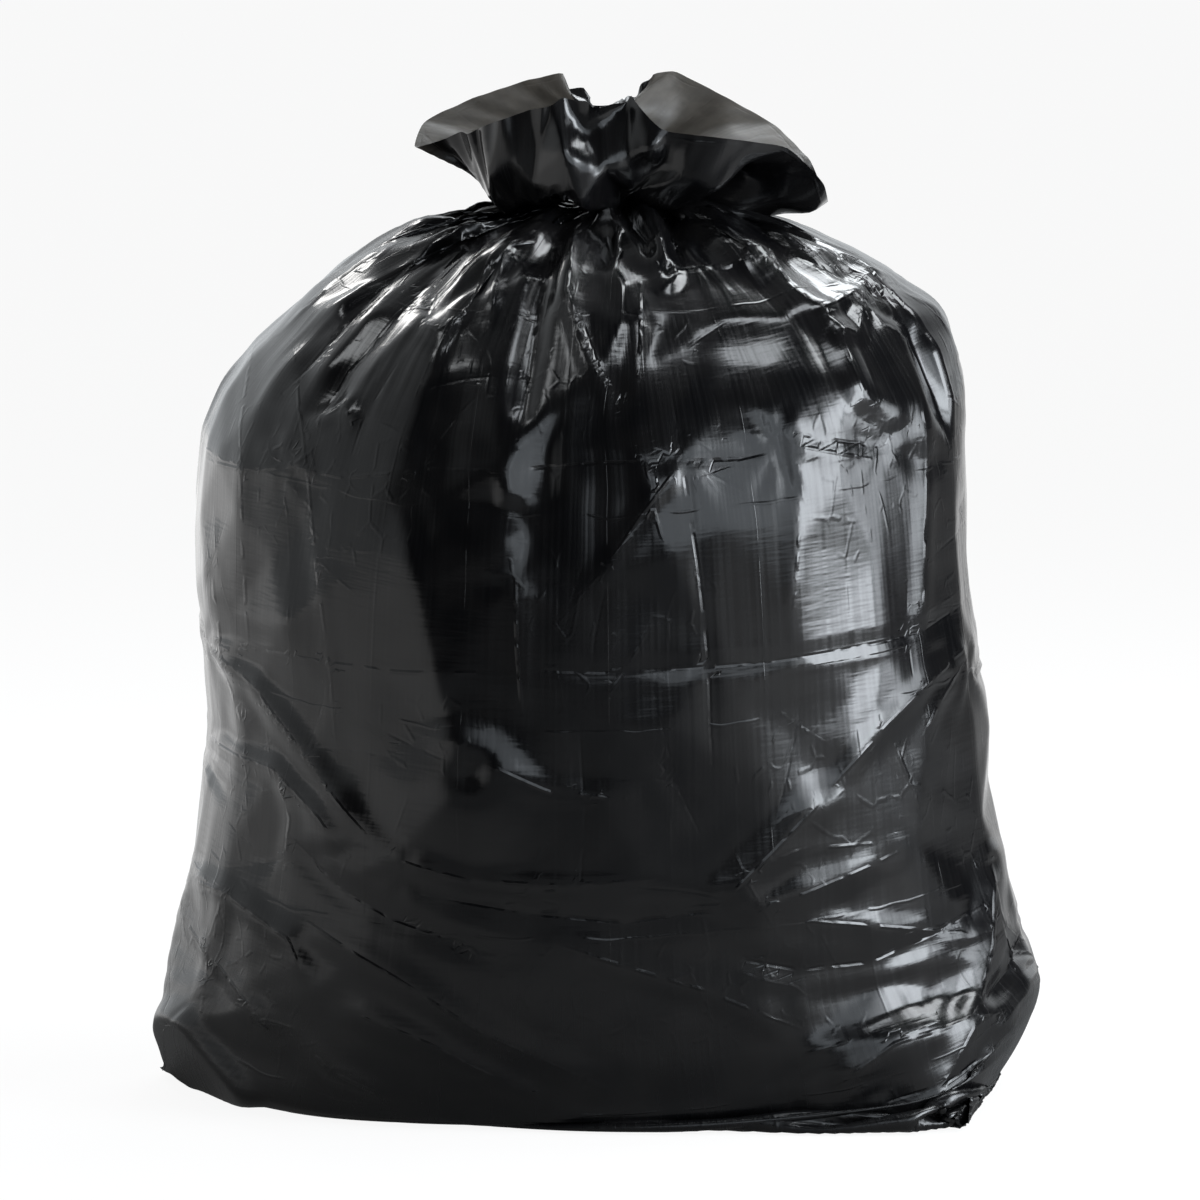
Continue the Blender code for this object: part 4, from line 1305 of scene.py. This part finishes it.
def studio():
    # floor: pale to the camera, with a soft contact shadow
    mesh = bpy.data.meshes.new("floor")
    s = 21.0
    mesh.from_pydata([(-s, -s, 0), (s, -s, 0), (s, s, 0), (-s, s, 0)], [], [(0, 1, 2, 3)])
    floor = bpy.data.objects.new("floor", mesh)
    bpy.context.scene.collection.objects.link(floor)
    material, tree, shader = nodes_of("floor")
    net = Net(tree)
    out = tree.nodes["Material Output"]
    seen = net.node("ShaderNodeLightPath").outputs["Is Camera Ray"]
    # what the film mirrors of it is a painted glow, no lamp: dark in front of the bag and close round it, painted light
    # to either side
    place = net.node("ShaderNodeSeparateXYZ")
    tree.links.new(net.node("ShaderNodeTexCoord").outputs["Object"], place.inputs[0])
    px, py, _ = place.outputs
    azimuth = net.math("MULTIPLY", net.math("ARCTAN2", px, net.math("MULTIPLY", py, -1.0)), 180 / math.pi)
    left = net.math("ADD", net.ramp(azimuth, -44.0, -24.0, 0.55, 0.0), net.ramp(azimuth, -150.0, -50.0, 0.30, 0.0, False))
    right = net.math("MULTIPLY", net.ramp(azimuth, 20.0, 40.0, 0.0, 0.40), net.ramp(azimuth, 72.0, 90.0, 1.0, 0.25))
    right = net.math("ADD", right, net.ramp(azimuth, 140.0, 165.0, 0.0, 0.8))
    far = net.math("SQRT", net.math("ADD", net.math("MULTIPLY", px, px), net.math("MULTIPLY", py, py)))
    left = net.math("ADD", left, net.math("MULTIPLY", net.ramp(far, 2.0, 3.4, 0.0, 0.55), net.ramp(azimuth, -100.0, -60.0, 1.0, 0.0)))
    # painted shade: the glow dims to near dark close round the bag
    level = net.math("MULTIPLY", net.math("ADD", net.math("MAXIMUM", left, right), 0.04), net.ramp(far, 0.26, 0.85, 0.06, 1.0))
    before = net.math("MULTIPLY", net.ramp(far, 0.30, 0.58, 0.25, 0.0, False), net.ramp(net.math("ABSOLUTE", azimuth), 55.0, 95.0, 1.0, 0.0))
    level = net.math("ADD", level, net.math("MULTIPLY", before, net.ramp(far, 0.22, 0.40, 0.3, 1.0)))
    shader.inputs["Base Color"].default_value = (0.12, 0.12, 0.12, 1)
    shader.inputs["Roughness"].default_value = 0.9
    shader.inputs["Specular IOR Level"].default_value = 0.0
    shader.inputs["Emission Color"].default_value = (1.0, 1.0, 1.0, 1)
    tree.links.new(level, shader.inputs["Emission Strength"])
    pale = net.node("ShaderNodeEmission")
    pale.inputs[0].default_value = (0.93, 0.93, 0.93, 1)
    pale.inputs[1].default_value = 0.985
    lit = net.node("ShaderNodeBsdfDiffuse")
    lit.inputs[0].default_value = (0.10, 0.10, 0.10, 1)
    both = net.node("ShaderNodeAddShader")
    tree.links.new(pale.outputs[0], both.inputs[0])
    tree.links.new(lit.outputs[0], both.inputs[1])
    choose = net.node("ShaderNodeMixShader")
    tree.links.new(seen, choose.inputs[0])
    tree.links.new(shader.outputs[0], choose.inputs[1])
    tree.links.new(both.outputs[0], choose.inputs[2])
    tree.links.new(choose.outputs[0], out.inputs["Surface"])
    mesh.materials.append(material)

    world = bpy.data.worlds.new("studio")
    bpy.context.scene.world = world
    world.use_nodes = True
    tree = world.node_tree
    tree.nodes.clear()
    net = Net(tree)
    out = net.node("ShaderNodeOutputWorld")
    room = net.node("ShaderNodeBackground")
    back = net.node("ShaderNodeBackground")
    back.inputs[0].default_value = (0.928, 0.928, 0.928, 1)
    back.inputs[1].default_value = 1.0
    # the room round the bag: dark in front, a pale wall on the left and behind
    direction = net.node("ShaderNodeTexCoord").outputs["Generated"]
    split = net.node("ShaderNodeSeparateXYZ")
    tree.links.new(direction, split.inputs[0])
    x, y, z = split.outputs
    azimuth = net.math("MULTIPLY", net.math("ARCTAN2", x, net.math("MULTIPLY", y, -1.0)), 180 / math.pi)
    left = net.math("ADD", net.ramp(azimuth, -70.0, -34.0, 0.45, 0.0), net.ramp(azimuth, -150.0, -60.0, 0.6, 0.0, False))
    right = net.ramp(azimuth, 132.0, 155.0, 0.0, 0.9)
    high = net.ramp(z, 0.55, 0.95, 1.0, 0.15)
    level = net.math("MULTIPLY", net.math("MAXIMUM", left, right), high)
    level = net.math("ADD", 0.02, net.math("MULTIPLY", level, 0.95))
    room.inputs[0].default_value = (0.93, 0.97, 1.0, 1)
    tree.links.new(level, room.inputs[1])
    mixer = net.node("ShaderNodeMixShader")
    tree.links.new(net.node("ShaderNodeLightPath").outputs["Is Camera Ray"], mixer.inputs[0])
    tree.links.new(room.outputs[0], mixer.inputs[1])
    tree.links.new(back.outputs[0], mixer.inputs[2])
    tree.links.new(mixer.outputs[0], out.inputs[0])

    light("window", 61, 15, 2.3, 0.9, 1.3, 40, (0.88, 0.94, 1.0), at=(0, 0, 0.24))
    light("window_edge", 62, 15, 2.36, 1.9, 1.4, 27, (0.88, 0.94, 1.0), at=(0, 0, 0.24))
    light("window_far", 85, 9, 2.3, 0.62, 0.8, 10, (0.88, 0.94, 1.0), at=(0, 0, 0.24))
    light("curtain", 29, 16, 2.42, 1.05, 1.1, 6.5, (0.84, 0.92, 1.0), at=(0, 0, 0.24))
    light("curtain_edge", 9, 16, 2.45, 0.85, 1.0, 3.4, (0.84, 0.92, 1.0), at=(0, 0, 0.24))
    light("back", 163, 50, 2.3, 0.8, 1.15, 22, (0.93, 0.97, 1.0))
    light("side_high", 106, 53, 2.3, 1.0, 0.8, 24, (0.93, 0.97, 1.0))
    light("top_right", 44, 68, 2.2, 0.62, 0.34, 5.5, (0.90, 0.95, 1.0))
    light("back_left", -150, 36, 2.2, 0.6, 0.35, 6, (1.0, 0.98, 0.96))
    light("high_left", -62, 60, 2.2, 0.4, 0.3, 2, (0.95, 0.98, 1.0))


def camera():
    data = bpy.data.cameras.new("camera")
    thing = bpy.data.objects.new("camera", data)
    bpy.context.scene.collection.objects.link(thing)
    data.sensor_width = 36.0
    distance, elevation = 5.0, math.radians(6.5)
    data.lens = 36.0 * distance / 0.744
    data.clip_end = 50
    aim = Vector((0.0, 0.0, 0.305))
    place = aim + distance * Vector((0.0, -math.cos(elevation), math.sin(elevation)))
    thing.location = place
    thing.rotation_euler = (aim - place).to_track_quat("-Z", "Y").to_euler()
    bpy.context.scene.camera = thing


def build():
    camera()
    studio()
    F = make_film(3)
    F = crumpled(F)
    folds = np.array(FOLDS_U)
    d = (F.u[0][:, None] - folds[None, :] + GIRTH / 2) % GIRTH - GIRTH / 2
    near = np.abs(d).argmin(1)
    fold = np.clip(d[np.arange(F.NU), near], -12, 12)
    fold = np.repeat(fold[None, :], F.NV, 0)
    az = F.azc[None, :]
    # the single sheets on the back half of the crown: they get a rougher finish and a brown colour that is painted
    # light, standing in for light from behind shining through them
    behind = smooth((az - 4.0) / 14.0) * smooth((189.0 - az) / 8.0)
    single = F.single * smooth((F.h - 18) / 30.0) * behind
    gather = (1 - 0.8 * F.single) * smooth((F.h + 30) / 40.0) * np.ones_like(F.v)
    film = film_object(F.X, fold_u=fold, single=single, gather=gather, crease_near=F.creases.near.clip(0, 30),
                       crease_side=F.creases.side.clip(-30, 30), crease_sharp=F.creases.sharp)
    film.data.materials.append(film_material("film"))
    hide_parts("bin_bag")
    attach(film, "root")

    tie = tie_object()
    tie.data.materials.append(tie_material("tie_film"))
    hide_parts("neck_tie")
    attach(tie, "root")


scene = bpy.context.scene
scene.view_settings.view_transform = "Standard"
build()
